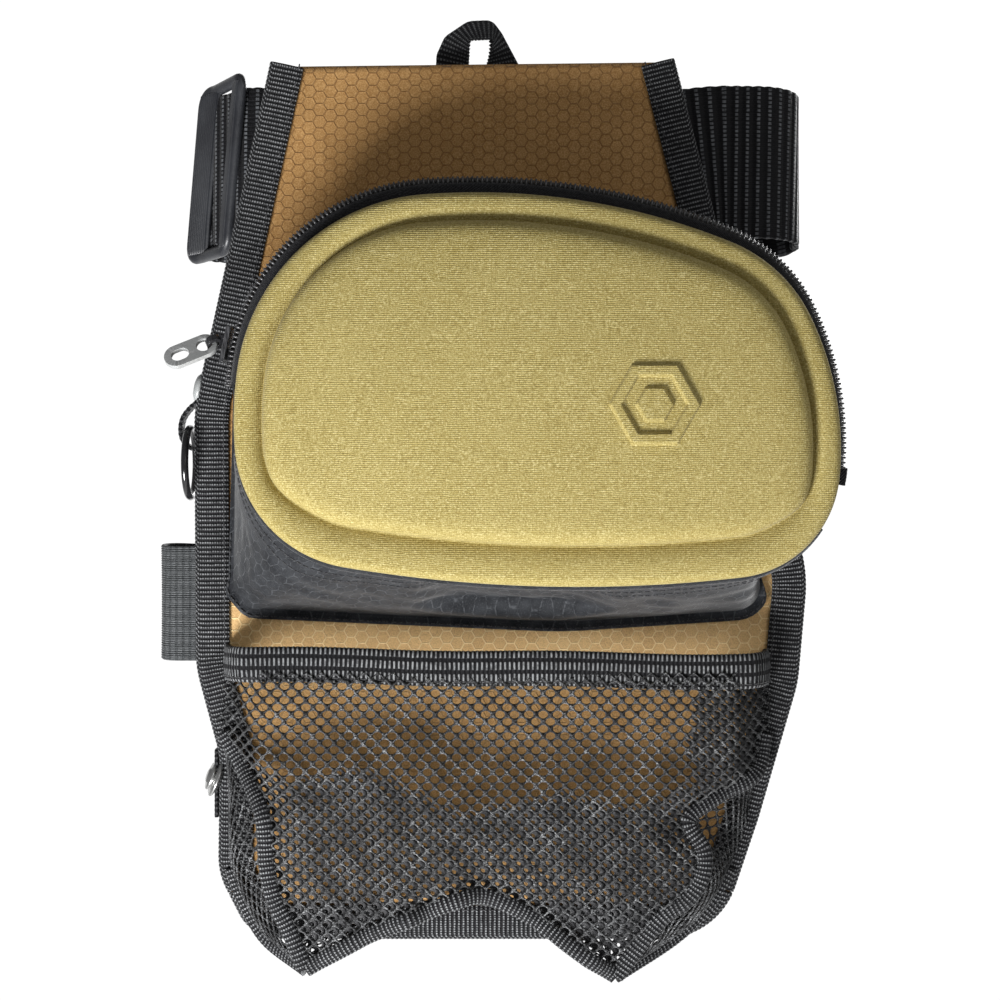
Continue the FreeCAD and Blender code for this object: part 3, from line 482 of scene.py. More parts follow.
def ripstop_slate():
    """Slate ripstop with faint lighter threads."""
    g = Graph("ripstop_slate", roughness=0.6)
    flat = g.cloth
    distance, own = hexagons(g, flat)
    mottled = g.noise(g.spot, 0.16, 4.0, 0.6)
    grain = g.noise(g.spot, 2.4, 2.0)
    line = g.step(distance, HEX_LINE * 0.3, HEX_LINE * 1.6, 1.0, 0.0)
    worn = g.math("MULTIPLY", line, g.step(g.noise(g.spot, 0.55), 0.42, 0.62))
    cloth = g.mix(g.step(mottled, 0.3, 0.72), (0.0095, 0.0105, 0.0130), (0.0300, 0.0325, 0.0370))
    cloth = g.mix(g.math("MULTIPLY", own, 0.30), cloth, (0.008, 0.009, 0.012))
    cloth = g.mix(g.step(grain, 0.52, 0.74, 0.0, 0.5), cloth, (0.080, 0.084, 0.092))
    colour = g.mix(g.math("MULTIPLY", worn, 0.42), cloth, (0.120, 0.127, 0.138))
    weave = g.math("MULTIPLY", plain_weave(g, flat, 0.42), 0.35)
    height = g.math("ADD", g.math("MULTIPLY", line, 0.5), weave)
    return g.paint(colour, height, 0.12, g.step(grain, 0.2, 0.8, 0.48, 0.70), 0.3)


def corded(name, rib, dash, ink, light, share=0.62, swap=False, lift=0.5, line=(0.50, 0.80), phase_edge=None):
    """Ribbed tape: dark ribs rib mm apart, each crest with a row of painted glints in dashes dash mm apart; light is
    the colour of the painted glints.
    """
    g = Graph(name, roughness=0.55)
    around, along, _ = g.split(g.cloth)
    if swap:
        around, along = along, around
    if phase_edge:
        inside = g.step(around, phase_edge[0] * MM, phase_edge[1] * MM)
        slope = g.math("MULTIPLY", g.math("SUBTRACT", around, phase_edge[0] * MM), g.math("MULTIPLY", inside, 0.9))
        along = g.math("ADD", along, slope)
    drift = g.math("MULTIPLY", g.math("SUBTRACT", g.noise(g.spot, 0.5), 0.5), 0.35 * MM)
    crest = g.wave(g.math("ADD", along, drift), rib * MM)
    row = g.step(crest, line[0], line[1])
    ticks = g.wave(g.math("ADD", around, g.math("MULTIPLY", drift, 1.5)), dash * MM)
    gaps = g.step(ticks, 0.16, 0.42)
    uneven = g.noise(g.spot, 0.75, 2.0)
    # painted highlight: glints in dashes along each rib crest, in the colour light
    crest_glint = g.math("MULTIPLY", g.math("MULTIPLY", row, gaps), g.step(uneven, 0.28, 0.62, 0.35, 1.0))
    fibre = g.noise(g.spot, 3.2, 2.0)
    base = g.mix(g.step(fibre, 0.45, 0.8), ink, tuple(3.0 * part + 0.004 for part in ink))
    broad = g.step(g.noise(g.spot, 0.035, 2.0), 0.3, 0.7, 0.72, 1.0)
    colour = g.mix(g.math("MULTIPLY", g.math("MULTIPLY", crest_glint, broad), share), base, light)
    height = g.math("ADD", g.math("MULTIPLY", crest, lift), g.math("MULTIPLY", gaps, 0.35))
    height = g.math("ADD", height, g.math("MULTIPLY", fibre, 0.25))
    return g.paint(colour, height, 0.32, g.step(fibre, 0.3, 0.7, 0.42, 0.62), 0.12)


def knit():
    """Olive-khaki knit over moulded foam: heathered yarn in fine wavy rows, with painted shade in the dips between
    rows.
    """
    g = Graph("knit_khaki", roughness=0.8)
    x, _, z = g.split(g.spot)
    sway = g.math("MULTIPLY", g.math("SUBTRACT", g.noise(g.spot, 0.22), 0.5), 0.9 * MM)
    rows = g.wave(g.math("ADD", z, sway), 0.62 * MM)
    loops = g.wave(g.math("ADD", x, g.math("MULTIPLY", rows, 0.15 * MM)), 0.55 * MM)
    fleck = g.noise(g.spot, 1.9, 3.0, 0.7)
    yarn = g.noise(g.vector("MULTIPLY", g.spot, (0.5, 1.0, 1.4)), 1.1, 3.0, 0.65)
    broad = g.noise(g.spot, 0.02, 2.0)
    base = g.mix(g.step(broad, 0.3, 0.7), (0.385, 0.305, 0.098), (0.435, 0.350, 0.122))
    base = g.mix(g.step(yarn, 0.35, 0.75, 0.0, 0.35), base, (0.640, 0.560, 0.260))
    base = g.mix(g.step(fleck, 0.50, 0.34, 0.0, 0.70), base, (0.205, 0.155, 0.040))
    base = g.mix(g.step(fleck, 0.53, 0.66, 0.0, 0.80), base, (0.740, 0.650, 0.330))
    # painted shade: darker in the dips between the knit rows
    colour = g.mix(g.math("MULTIPLY", g.math("SUBTRACT", 1.0, rows), 0.26), base, (0.200, 0.150, 0.040))
    height = g.math("ADD", g.math("MULTIPLY", rows, 0.5), g.math("MULTIPLY", loops, 0.25))
    height = g.math("ADD", height, g.math("MULTIPLY", fleck, 0.6))
    return g.paint(colour, height, 0.20, None, 0.12)


def twill_tape():
    """Zip tape: black herringbone twill."""
    g = Graph("zip_twill", roughness=0.6)
    around, along, _ = g.split(g.cloth)
    slope = g.math("ADD", along, g.math("MULTIPLY", around, 1.3))
    ridge = g.wave(slope, 1.15 * MM)
    fibre = g.noise(g.spot, 2.8, 2.0)
    lit = g.math("MULTIPLY", g.step(ridge, 0.45, 0.85), g.step(fibre, 0.35, 0.65))
    colour = g.mix(g.math("MULTIPLY", lit, 0.40), (0.008, 0.008, 0.010), (0.150, 0.152, 0.160))
    height = g.math("ADD", ridge, g.math("MULTIPLY", fibre, 0.4))
    return g.paint(colour, height, 0.16, None, 0.15)


def net_yarn():
    """Black warp-knit net with pale glints where the filaments turn."""
    g = Graph("net_yarn", roughness=0.42)
    fibre = g.noise(g.vector("MULTIPLY", g.spot, (1.0, 1.0, 2.2)), 1.6, 3.0, 0.7)
    patch = g.noise(g.spot, 0.10, 3.0, 0.6)
    glint = g.math("MULTIPLY", g.step(fibre, 0.46, 0.64), g.step(patch, 0.40, 0.64, 0.30, 1.0))
    colour = g.mix(g.math("MULTIPLY", glint, 0.80), (0.013, 0.013, 0.014), (0.420, 0.430, 0.440))
    return g.paint(colour, fibre, 0.25, g.step(fibre, 0.3, 0.7, 0.30, 0.55), 0.1)


def spacer_mesh():
    """Rear lining: black spacer knit with rows of small pores, painted near-black as shade in their dips."""
    g = Graph("spacer_mesh", roughness=0.8)
    x, _, z = g.split(g.spot)
    node = g.node("TexVoronoi", g.scaled(g.join(x, z), 420.0), feature="F1")
    node.inputs["Scale"].default_value = 1.0
    node.inputs["Randomness"].default_value = 0.18
    pore_and_shade = g.step(node.outputs["Distance"], 0.22, 0.40, 1.0, 0.0)
    fibre = g.noise(g.spot, 1.8, 3.0)
    cloth = g.mix(g.step(fibre, 0.3, 0.75), (0.020, 0.021, 0.023), (0.070, 0.072, 0.076))
    # painted shade: the pores are darkened to near-black as shade in their recesses
    colour = g.mix(pore_and_shade, cloth, (0.004, 0.004, 0.005))
    height = g.math("SUBTRACT", g.math("MULTIPLY", fibre, 0.3), pore_and_shade)
    return g.paint(colour, height, 0.5, None, 0.3)


def lining_cloth():
    """Grey nylon lining with a fine plain weave."""
    g = Graph("lining_nylon", roughness=0.5)
    x, y, z = g.split(g.spot)
    flat = g.join(g.math("ADD", x, y), z)
    weave = plain_weave(g, flat, 0.7)
    cloudy = g.noise(g.spot, 0.08, 3.0)
    fibre = g.noise(g.spot, 2.2, 2.0)
    cloth = g.mix(g.step(cloudy, 0.3, 0.7), (0.030, 0.032, 0.036), (0.055, 0.057, 0.062))
    colour = g.mix(g.math("MULTIPLY", g.math("MULTIPLY", weave, fibre), 0.6), cloth, (0.14, 0.14, 0.15))
    return g.paint(colour, g.math("ADD", weave, fibre), 0.12, None, 0.2)


def moulded(name, dark, light, rough, coat=0.0, grain=0.9, bump=0.05, wear=(0.2, 0.2, 0.21), **shader):
    """Hard moulded or painted part: fine texture, slight colour drift and rubbed edges."""
    g = Graph(name, roughness=rough, Coat_Weight=coat, Coat_Roughness=0.15,
              Specular_IOR_Level=PLASTIC_SHINE, **shader)
    texture = g.noise(g.spot, grain, 4.0, 0.6)
    drift = g.noise(g.spot, 0.07, 2.0)
    scratch = g.noise(g.vector("MULTIPLY", g.spot, (1.0, 1.0, 0.12)), 1.7, 3.0, 0.7)
    colour = g.mix(g.step(drift, 0.3, 0.7), dark, light)
    edge = g.node("NewGeometry").outputs["Pointiness"]
    rubbed = g.math("MULTIPLY", g.step(edge, 0.515, 0.60), g.step(scratch, 0.35, 0.6))
    colour = g.mix(g.math("MULTIPLY", rubbed, 0.35), colour, wear)
    uneven = g.math("MULTIPLY_ADD", texture, 0.22, rough - 0.11)
    return g.paint(colour, g.math("ADD", texture, g.math("MULTIPLY", scratch, 0.3)), bump, uneven)


def foam_cells():
    g = Graph("foam_cells", roughness=0.9)
    cells = g.noise(g.spot, 1.4, 4.0, 0.7)
    colour = g.mix(g.step(cells, 0.3, 0.7), (0.02, 0.02, 0.022), (0.06, 0.06, 0.064))
    return g.paint(colour, cells, 0.3)


def thread(name, dark, light):
    """Twisted sewing thread."""
    g = Graph(name, roughness=0.55)
    ply = g.noise(g.spot, 2.5, 2.0)
    return g.paint(g.mix(g.step(ply, 0.3, 0.7), dark, light), ply, 0.1, None, 0.2)


def floor_paint():
    g = Graph("studio_floor", roughness=0.9)
    cloudy = g.noise(g.spot, 0.002, 2.0)
    colour = g.mix(cloudy, (0.74, 0.74, 0.74), (0.78, 0.78, 0.78))
    g.shader.inputs["Emission Color"].default_value = (1.0, 1.0, 1.0, 1.0)
    g.shader.inputs["Emission Strength"].default_value = 0.25
    return g.paint(colour)


INK = (0.0055, 0.0055, 0.0065)
HEX_TAN = ripstop_tan()
SLATE = ripstop_slate()
# the fifth argument of corded is the colour of the painted glints on the rib crests
GROSGRAIN = corded("grosgrain", 1.45, 0.80, INK, (0.36, 0.37, 0.38), 0.78, line=(0.55, 0.88), phase_edge=(9.2, 11.6))
WEBBING = corded("webbing", 3.6, 1.40, INK, (0.21, 0.22, 0.235), 0.75, line=(0.72, 0.93))
ELASTIC = corded("elastic", 0.76, 2.2, (0.042, 0.045, 0.047), (0.190, 0.197, 0.203), 0.8, swap=True)
KNIT = knit()
TWILL = twill_tape()
NET = net_yarn()
SPACER = spacer_mesh()
LINING = lining_cloth()
FOAM = foam_cells()
THREAD = thread("thread_black", (0.012, 0.012, 0.013), (0.09, 0.09, 0.095))
THREAD_GREY = thread("thread_grey", (0.10, 0.11, 0.12), (0.34, 0.35, 0.37))
COIL = moulded("zip_coil_nylon", (0.012, 0.012, 0.013), (0.030, 0.030, 0.032), 0.30, coat=0.3)
SLIDER = moulded("slider_enamel", (0.010, 0.010, 0.012), (0.022, 0.023, 0.026), 0.28, coat=0.5)
ACETAL = moulded("acetal_black", (0.012, 0.013, 0.017), (0.026, 0.028, 0.033), 0.42, coat=0.15)
RING_BLACK = moulded("ring_enamel", (0.006, 0.006, 0.007), (0.014, 0.014, 0.015), 0.14, coat=0.8)
SILVER = moulded("pull_enamel", (0.44, 0.45, 0.45), (0.56, 0.57, 0.57), 0.36, coat=0.3,
                 wear=(0.80, 0.80, 0.80), Metallic=0.25)
NICKEL = moulded("snap_nickel", (0.34, 0.34, 0.34), (0.52, 0.52, 0.51), 0.26,
                 wear=(0.9, 0.9, 0.9), Metallic=0.9)
CAP = moulded("snap_cap", (0.40, 0.42, 0.42), (0.52, 0.54, 0.54), 0.30, coat=0.4,
              wear=(0.85, 0.85, 0.85), Transmission_Weight=0.25)


# ---------------------------------------------------------------- outlines, in mm, as in the frame
PAD_OUTLINE = [
    ((-74.0, 32.0), 3.0),
    ((56.0, 33.5), 3.0),
    ((98.9, -133.0), 45.0),
    ((95.8, -168.0), 40.0),
    ((83.0, -212.0), 60.0),
    ((70.0, -250.5), 24.0),
    ((-80.0, -250.5), 14.0),
    ((-90.5, -230.0), 22.0),
    ((-90.0, -192.0), 30.0),
    ((-97.8, -163.0), 40.0),
    ((-98.3, -79.0), 60.0),
]
PAD_CENTRE = (0.0, -110.0)
PAD_FRONT_Y = -6.0
BINDING_WIDTH = 10.0
BINDING_THICKNESS = 1.0
BINDING_BOTTOM_Z = -236.0
BINDING_RIB = 1.45

LID_START = (-80.3, -93.5)
LID_HEADING = 94.5
LID_ARCS = [(13.0, 110.0), (77.0, 61.5), (26.5, 206.0), (42.5, 46.0), (31.0, 92.5), (78.0, 33.5)]
LID_CLOSING_TURNS = (16.0, 76.0)
LID_BACK_Y = -42.15
LID_RIM_Y = -50.4
LID_CROWN_Y = -58.2
LID_CENTRE = (11.5, -76.0)
GROOVE_OFFSET = 8.7          # from the lid's edge to the pressed groove
GROOVE_EXTRA = 3.6           # further in along the bottom
GROOVE_Y = -48.1
EMBLEM_CENTRE = (46.0, -80.5)
EMBLEM_RADIUS = 13.5
EMBLEM_LIFT = 1.5

CASE_BASE = [
    ((-56.0, -17.0), 36.0),
    ((46.0, -13.0), 28.0),
    ((87.0, -144.2), 8.0),
    ((20.0, -148.6), 150.0),
    ((-81.0, -144.2), 2.0),
    ((-86.8, -137.4), 2.0),
    ((-85.0, -66.0), 40.0),
]
CASE_CENTRE = (5.0, -80.0)
CASE_FRONT_Y = -35.0
COIL_OFFSET = 2.2
ZIP_SHIFT = np.array([-0.6, 2.6])
ZIP_Y = -39.6
ZIP_LEFT_END_Z = -104.0
ZIP_RIGHT_END_Z = -99.0


def lid_edge(spacing=1.0):
    """The lid's edge, clockwise from its left side, and the outward normals."""
    turns = np.radians([turn for turn, _ in LID_ARCS] + list(LID_CLOSING_TURNS))
    headings = math.radians(LID_HEADING) - np.concatenate([[0.0], np.cumsum(turns)])
    spans = np.stack([np.sin(headings[:-1]) - np.sin(headings[1:]),
                      np.cos(headings[1:]) - np.cos(headings[:-1])], axis=1)
    radii = np.array([radius for _, radius in LID_ARCS])
    short = -(spans[:-2] * radii[:, None]).sum(axis=0)
    radii = np.concatenate([radii, np.linalg.solve(spans[-2:].T, short)])
    point = np.array(LID_START)
    points = []
    for heading, turn, radius in zip(headings, turns, radii):
        centre = point - np.array([-math.sin(heading), math.cos(heading)]) * radius
        for angle in heading - np.linspace(0, turn, max(int(radius * turn), 6), endpoint=False):
            points.append(centre + np.array([-math.sin(angle), math.cos(angle)]) * radius)
        last = heading - turn
        point = centre + np.array([-math.sin(last), math.cos(last)]) * radius
    line = resample(np.array(points), spacing, closed=True)
    return line, side_normals(line)


def by_direction(line, centre, count):
    """Points where a closed line is met at evenly spaced directions from a centre, clockwise."""
    spokes = line - np.array(centre)
    angles = np.arctan2(spokes[:, 1], spokes[:, 0])
    order = np.argsort(angles)
    reach = np.linalg.norm(spokes, axis=1)[order]
    wanted = np.linspace(math.pi, -math.pi, count, endpoint=False)
    radius = np.interp(wanted, angles[order], reach, period=2 * math.pi)
    directions = np.stack([np.cos(wanted), np.sin(wanted)], axis=1)
    return np.array(centre) + directions * radius[:, None], directions


# ---------------------------------------------------------------- backpad
def pad_skin(name, depth, shares):
    """Surface over the whole backpad; depth gives y in mm for (x, z) and the distance from the edge."""
    edge = rounded(PAD_OUTLINE, 2.0)
    centre = np.array(PAD_CENTRE)
    shares = np.asarray(shares)[:, None, None]
    flat = centre + (edge - centre)[None] * (1 - shares)
    inward = np.abs(np.sum((edge - flat) * side_normals(edge)[None], axis=-1))
    y = depth(flat, inward)
    points = raised(flat, y)
    wrapped = np.concatenate([flat, flat[:, :1]], axis=1) * MM
    return surface(name, points, wrapped, wrap_columns=True, merge=True)


PAD_SHARES = np.concatenate([np.linspace(0, 0.2, 14), np.linspace(0.22, 1.0, 60)])


def build_backpad():
    def front(flat, inward):
        crown = 0.3 + 1.5 * ease(inward, 7.0, 34.0) + 0.35 * waves(flat, 38.0, 3) * ease(inward, 8.0, 30.0)
        dip = 1.6 * np.exp(-((flat[..., 1] + 8.0) / 16.0) ** 2)
        return PAD_FRONT_Y + 0.8 - crown + dip * ease(inward, 9.0, 26.0)

    def rear(flat, inward):
        channel = np.abs((flat[..., 1] + 110.0 + 4.0 * np.cos(flat[..., 0] / 60.0)) % 44.0 - 22.0)
        quilt = 1.1 * (1 - ease(channel, 0.4, 7.0)) * ease(inward, 12.0, 20.0)
        crown = 0.9 * ease(inward, 6.0, 24.0) + 0.15 * waves(flat, 26.0, 5) * ease(inward, 10.0, 30.0)
        return -1.15 + crown - quilt

    face = pad_skin("panel_front", front, PAD_SHARES)
    thickened(face, 2.4, offset=-1.0)
    finished(mend_outward(face, -1), [HEX_TAN, FOAM], "hex_tan", "pack", "panel_face", "foam_pad")
    back = pad_skin("rear_padding", rear, PAD_SHARES)
    thickened(back, 2.2, offset=-1.0)
    finished(mend_outward(back, 1), SPACER, "lining", "pack", "rear_lining")


def mend_outward(thing, sign):
    """Makes an open sheet's faces look towards +Y (sign 1) or -Y (sign -1)."""
    normals = np.empty(len(thing.data.polygons) * 3)
    thing.data.polygons.foreach_get("normal", normals)
    if sign * normals[1::3].sum() < 0:
        thing.data.flip_normals()
    return thing


def binding_profile():
    """Cross-section of the tape folded over the edge: (outward, y) in metres."""
    inner = -BINDING_WIDTH
    front = PAD_FRONT_Y - 0.95
    outer = [(inner, front + 0.35), (inner + 0.4, front + 0.02)]
    outer += [(x, front - 0.35 * math.sin(math.pi * (x - inner) / BINDING_WIDTH)) for x in np.linspace(inner + 1.2, -0.6, 9)]
    outer += [(BINDING_THICKNESS - 1.3 * (1 - math.sin(a)), front + 1.3 * (1 - math.cos(a)))
              for a in np.linspace(0.25, math.pi / 2, 5)]
    outer += [(BINDING_THICKNESS + 0.1, y) for y in np.linspace(front + 2.4, -1.0, 4)]
    outer += [(BINDING_THICKNESS - 1.2 * (1 - math.cos(a)), -0.3 + 1.25 * math.sin(a))
              for a in np.linspace(0.3, math.pi / 2, 4)]
    outer += [(x, 0.95) for x in np.linspace(-1.0, inner + 0.6, 7)]
    rear = [(inner, 0.6), (inner, 0.05), (-4.0, 0.0), (-0.3, -0.4), (-0.1, -3.0), (-0.3, front + 1.0),
            (-4.0, front + 0.85), (inner, front + 0.8)]
    return np.array(outer + rear) * MM


def build_bindings():
    left = [((-73.6, 33.4), 0), *[PAD_OUTLINE[k] for k in (10, 9, 8, 7, 6)], ((0.0, -250.5), 0)]
    right = [((55.6, 34.4), 0), *[PAD_OUTLINE[k] for k in (2, 3, 4, 5)], ((0.0, -250.5), 0)]
    step = BINDING_RIB / 5
    sides = {}
    for name, corners in (("binding_left", left), ("binding_right", right)):
        line = rounded(corners, step, closed=False)
        sides[name] = line[line[:, 1] > BINDING_BOTTOM_Z]
    whole = rounded(PAD_OUTLINE[3:8], step, closed=False)
    sides["panel_bottom_binding"] = whole[whole[:, 1] < BINDING_BOTTOM_Z - 0.3]
    for name, line in sides.items():
        outward = side_normals(line, closed=False)
        if np.sum(outward * (line - np.array(PAD_CENTRE))) < 0:
            outward = -outward
        tape = band(name + "_tape", raised(line, 0.0), raised(outward, 0.0) / MM, np.tile((0.0, 1.0, 0.0), (len(line), 1)),
                    binding_profile(), ribs=(BINDING_RIB * MM, 0.20 * MM))
        finished(tape, GROSGRAIN, "grosgrain", "pack", name)
        inset = raised(line - outward * (BINDING_WIDTH - 1.4), PAD_FRONT_Y - 1.25)
        stitches(name + "_stitching", inset[::3], pitch=2.9, length=2.1)
        stitches(name + "_rear_stitching", raised(line - outward * (BINDING_WIDTH - 1.4), 1.15)[::3], 2.9, 2.1)


def build_grab_loop():
    """Webbing loop behind the top edge: a level leg, a folded top and a slanting leg."""
    y = 1.5
    outline = rounded([((-21.2, 29.9), 0.3), ((-20.9, 37.4), 5.0), ((-18.2, 43.4), 5.0), ((-10.5, 48.6), 6.0),
                       ((-2.6, 48.9), 4.0), ((0.6, 44.6), 5.0), ((8.4, 29.9), 0.3)], 0.55, closed=False)
    hole = rounded([((-10.4, 29.9), 0.3), ((-10.0, 42.5), 1.0), ((-1.8, 42.7), 1.0), ((-5.6, 29.9), 0.3)],
                   0.55, closed=False)
    count = 150
    outer = resample(outline, lengths_along(outline)[-1] / count)[:count]
    inner = resample(hole, lengths_along(hole)[-1] / count)[:count]
    rows = 13
    share = np.linspace(0, 1, rows)
    flat = outer[:, None] * (1 - share[None, :, None]) + inner[:, None] * share[None, :, None]
    bow = np.sin(math.pi * np.linspace(0, 1, count))[:, None] * (0.9 - 1.8 * share[None])
    width = 9.0 * share[None] + 0 * bow
    along = np.repeat(np.linspace(0, 52.0, count)[:, None], rows, axis=1)
    uv = np.stack([width, along], axis=-1) * MM
    ridge = 0.18 * np.abs(np.sin(math.pi * along / 1.8))
    strip = surface("grab_loop_webbing", raised(flat, y - 0.9 + 0.5 * bow - ridge), uv)
    thickened(mend_outward(strip, -1), 1.5)
    finished(strip, GRAB, "webbing", "pack", "grab_loop")


# ---------------------------------------------------------------- lid
def crown_y(flat):
    """Depth of the lid's plateau away from its edges."""
    local = (flat - np.array(LID_CENTRE)) / np.array([82.0, 48.0])
    return LID_CROWN_Y + 2.6 * np.clip(np.sum(local ** 2, axis=-1), 0, 1.6)


def build_lid():
    edge, outward = lid_edge(0.8)
    low = ease(-outward[:, 1], 0.35, 0.95)
    groove = GROOVE_OFFSET + GROOVE_EXTRA * low
    rings = []
    depths = []

    def ring(offset, y):
        rings.append(edge - outward * np.broadcast_to(offset, groove.shape)[:, None])
        depths.append(np.broadcast_to(y, groove.shape))

    ring(1.2, LID_BACK_Y + 0.02)
    for y in np.linspace(LID_BACK_Y, -47.0, 6):
        ring(0.0, y)
    for angle in np.linspace(0.15, 1.45, 7):
        ring(3.0 * (1 - math.cos(angle)), -47.0 + (LID_RIM_Y + 47.0) * math.sin(angle))
    for share in np.linspace(0.1, 1, 14):
        fall = share ** 2.6
        ring(3.0 + (groove - 3.0) * share, LID_RIM_Y + (GROOVE_Y - LID_RIM_Y) * fall - 0.25 * math.sin(math.pi * share))
    for share in np.linspace(0.03, 1, 22):
        rise = 1 - (1 - share) ** 4.5
        offset = groove + (28.0 - groove) * share ** 1.75
        flat = edge - outward * offset[:, None]
        ring(offset, GROOVE_Y + (crown_y(flat) - GROOVE_Y) * rise)
    last = rings[-1]
    centre = np.array(LID_CENTRE)
    for share in np.linspace(0.06, 1.0, 22):
        flat = last * (1 - share) + centre * share
        rings.append(flat)
        depths.append(crown_y(flat))
    flat = np.array(rings)
    y = np.array(depths) + 0.05 * waves(flat, 9.0, 11)
    points = raised(flat, y)
    uv = np.concatenate([flat, flat[:, :1]], axis=1) * MM
    shell = mend_outward(surface("lid_shell_skin", points, uv, wrap_columns=True, merge=True), -1)
    thickened(shell, 2.4)
    finished(shell, KNIT, "knit_shell", "lid", "lid_shell")
    build_emblem()
    build_lid_liner(edge, outward)
    piping = raised(edge - outward * 0.1, LID_BACK_Y - 0.25)
    profile = [(0.42 * MM * math.cos(a), 0.42 * MM * math.sin(a)) for a in np.linspace(0, 2 * math.pi, 8, endpoint=False)]
    cord = band("lid_edge_fold", piping, raised(outward, 0.0) / MM, np.tile((0.0, 1.0, 0.0), (len(edge), 1)),
                profile, closed=True)
    finished(cord, EDGE_FOLD, "knit_shell", "lid")


def build_emblem():
    """Plain embossed hexagon ring round a small hexagon, in the lid's own cloth."""
    size = 2 * (EMBLEM_RADIUS + 4.0)
    count = 120
    xs = np.linspace(-size / 2, size / 2, count)
    local = np.stack(np.meshgrid(xs, xs, indexing="ij"), axis=-1)
    flat = local + np.array(EMBLEM_CENTRE)
    x = np.abs(local[..., 0])
    z = np.abs(local[..., 1])
    distance = np.maximum(x * math.sqrt(3) / 2 + z / 2, z)
    apothem = EMBLEM_RADIUS * math.sqrt(3) / 2
    ring = ease(distance, apothem + 0.5, apothem - 0.4) - ease(distance, apothem - 2.8, apothem - 3.7)
    core = ease(distance, apothem / 2.4 + 0.5, apothem / 2.4 - 0.4)
    pressed = 0.25 * ease(distance, apothem + 2.8, apothem + 0.8)
    height = EMBLEM_LIFT * (np.clip(ring, 0, 1) + core) - pressed * 0.4
    border = 0.25 * ease(distance, apothem + 1.2, apothem + 3.0)
    y = crown_y(flat) - 0.06 - height + border
    patch = surface("lid_emblem", raised(flat, y), flat * MM)
    bm = bmesh.new()
    bm.from_mesh(patch.data)
    reach = (apothem + 2.2) * MM
    centre = Vector((EMBLEM_CENTRE[0] * MM, 0, EMBLEM_CENTRE[1] * MM))
    outside = []
    for vertex in bm.verts:
        dx = abs(vertex.co.x - centre.x)
        dz = abs(vertex.co.z - centre.z)
        if max(dx * math.sqrt(3) / 2 + dz / 2, dz) > reach:
            outside.append(vertex)
    bmesh.ops.delete(bm, geom=outside, context="VERTS")
    bm.to_mesh(patch.data)
    bm.free()
    finished(mend_outward(patch, -1), KNIT, "knit_shell", "lid")


def build_lid_liner(edge, outward):
    """Lining inside the lid, as a shallow dish."""
    rings = []
    depths = []
    for offset, y in ((1.8, -42.4), (3.1, -42.6), (3.4, -43.6), (4.5, -44.6), (8.0, -44.9), (17.2, -45.0),
                      (18.2, -46.6), (20.0, -49.6), (24.0, -51.4), (30.0, -52.4)):
        rings.append(edge - outward * offset)
        depths.append(np.full(len(edge), y))
    for share in np.linspace(0.1, 1.0, 12):
        rings.append(rings[9] * (1 - share) + np.array(LID_CENTRE) * share)
        depths.append(np.maximum(crown_y(rings[-1]) + 3.4, -52.4 - 2.4 * share))
    flat = np.array(rings)
    y = np.array(depths) + 0.25 * waves(flat, 16.0, 13) * ease(-np.array(depths), 43.0, 46.0)
    uv = np.concatenate([flat, flat[:, :1]], axis=1) * MM
    liner = mend_outward(surface("lid_lining", raised(flat, y), uv, wrap_columns=True, merge=True), 1)
    finished(liner, LINING, "lining", "lid", "lid_liner")
    stitches("lid_lining_stitching", raised(edge - outward * 2.4, -42.35), 2.6, 1.9, closed=True, body="lid")


# ---------------------------------------------------------------- case
WALL_STATIONS = 420
WALL_REAR_Y = PAD_FRONT_Y - 1.6
WALL_FRONT_LOW_Y = -40.2     # front of the wall where it meets the lid itself
ZIP_LEFT_SHOWN_Z = -74.0     # below this the zip's left end lies under the wall's turned edge


def zip_share(edge):
    """1 where the zip shows at the lid's edge, 0 where the wall meets the lid itself."""
    left = ease(edge[:, 1], ZIP_LEFT_SHOWN_Z - 6.0, ZIP_LEFT_SHOWN_Z + 3.0)
    right = ease(edge[:, 1], ZIP_RIGHT_END_Z - 8.0, ZIP_RIGHT_END_Z + 1.0)
    return np.where(edge[:, 0] < 0, left, right)


def to_coil(outward):
    """Steps from the lid's edge to the zip's coil, in mm."""
    return outward * COIL_OFFSET + ZIP_SHIFT


def case_wall(share):
    """Flat outline and depth of the fabric wall at a share of its height, 0 at the backpad."""
    base, _ = by_direction(rounded(CASE_BASE, 1.0), CASE_CENTRE, WALL_STATIONS)
    edge, outward = lid_edge(1.0)
    shown = zip_share(edge)
    closed = outward * 1.1
    step = closed + (to_coil(outward) + outward * 0.5 - closed) * shown[:, None]
    front, _ = by_direction(edge + step, CASE_CENTRE, WALL_STATIONS)
    _, directions = by_direction(edge, CASE_CENTRE, WALL_STATIONS)
    turn = np.unwrap(np.arctan2(edge[:, 1] - CASE_CENTRE[1], edge[:, 0] - CASE_CENTRE[0]))
    wanted = np.arctan2(directions[:, 1], directions[:, 0])
    order = np.argsort(turn % (2 * math.pi))
    here = np.interp(wanted % (2 * math.pi), (turn % (2 * math.pi))[order], shown[order], period=2 * math.pi)
    front_y = WALL_FRONT_LOW_Y + (CASE_FRONT_Y - 0.6 - WALL_FRONT_LOW_Y) * here
    flat = base * (1 - share) + front * share
    return flat, WALL_REAR_Y + (front_y - WALL_REAR_Y) * share


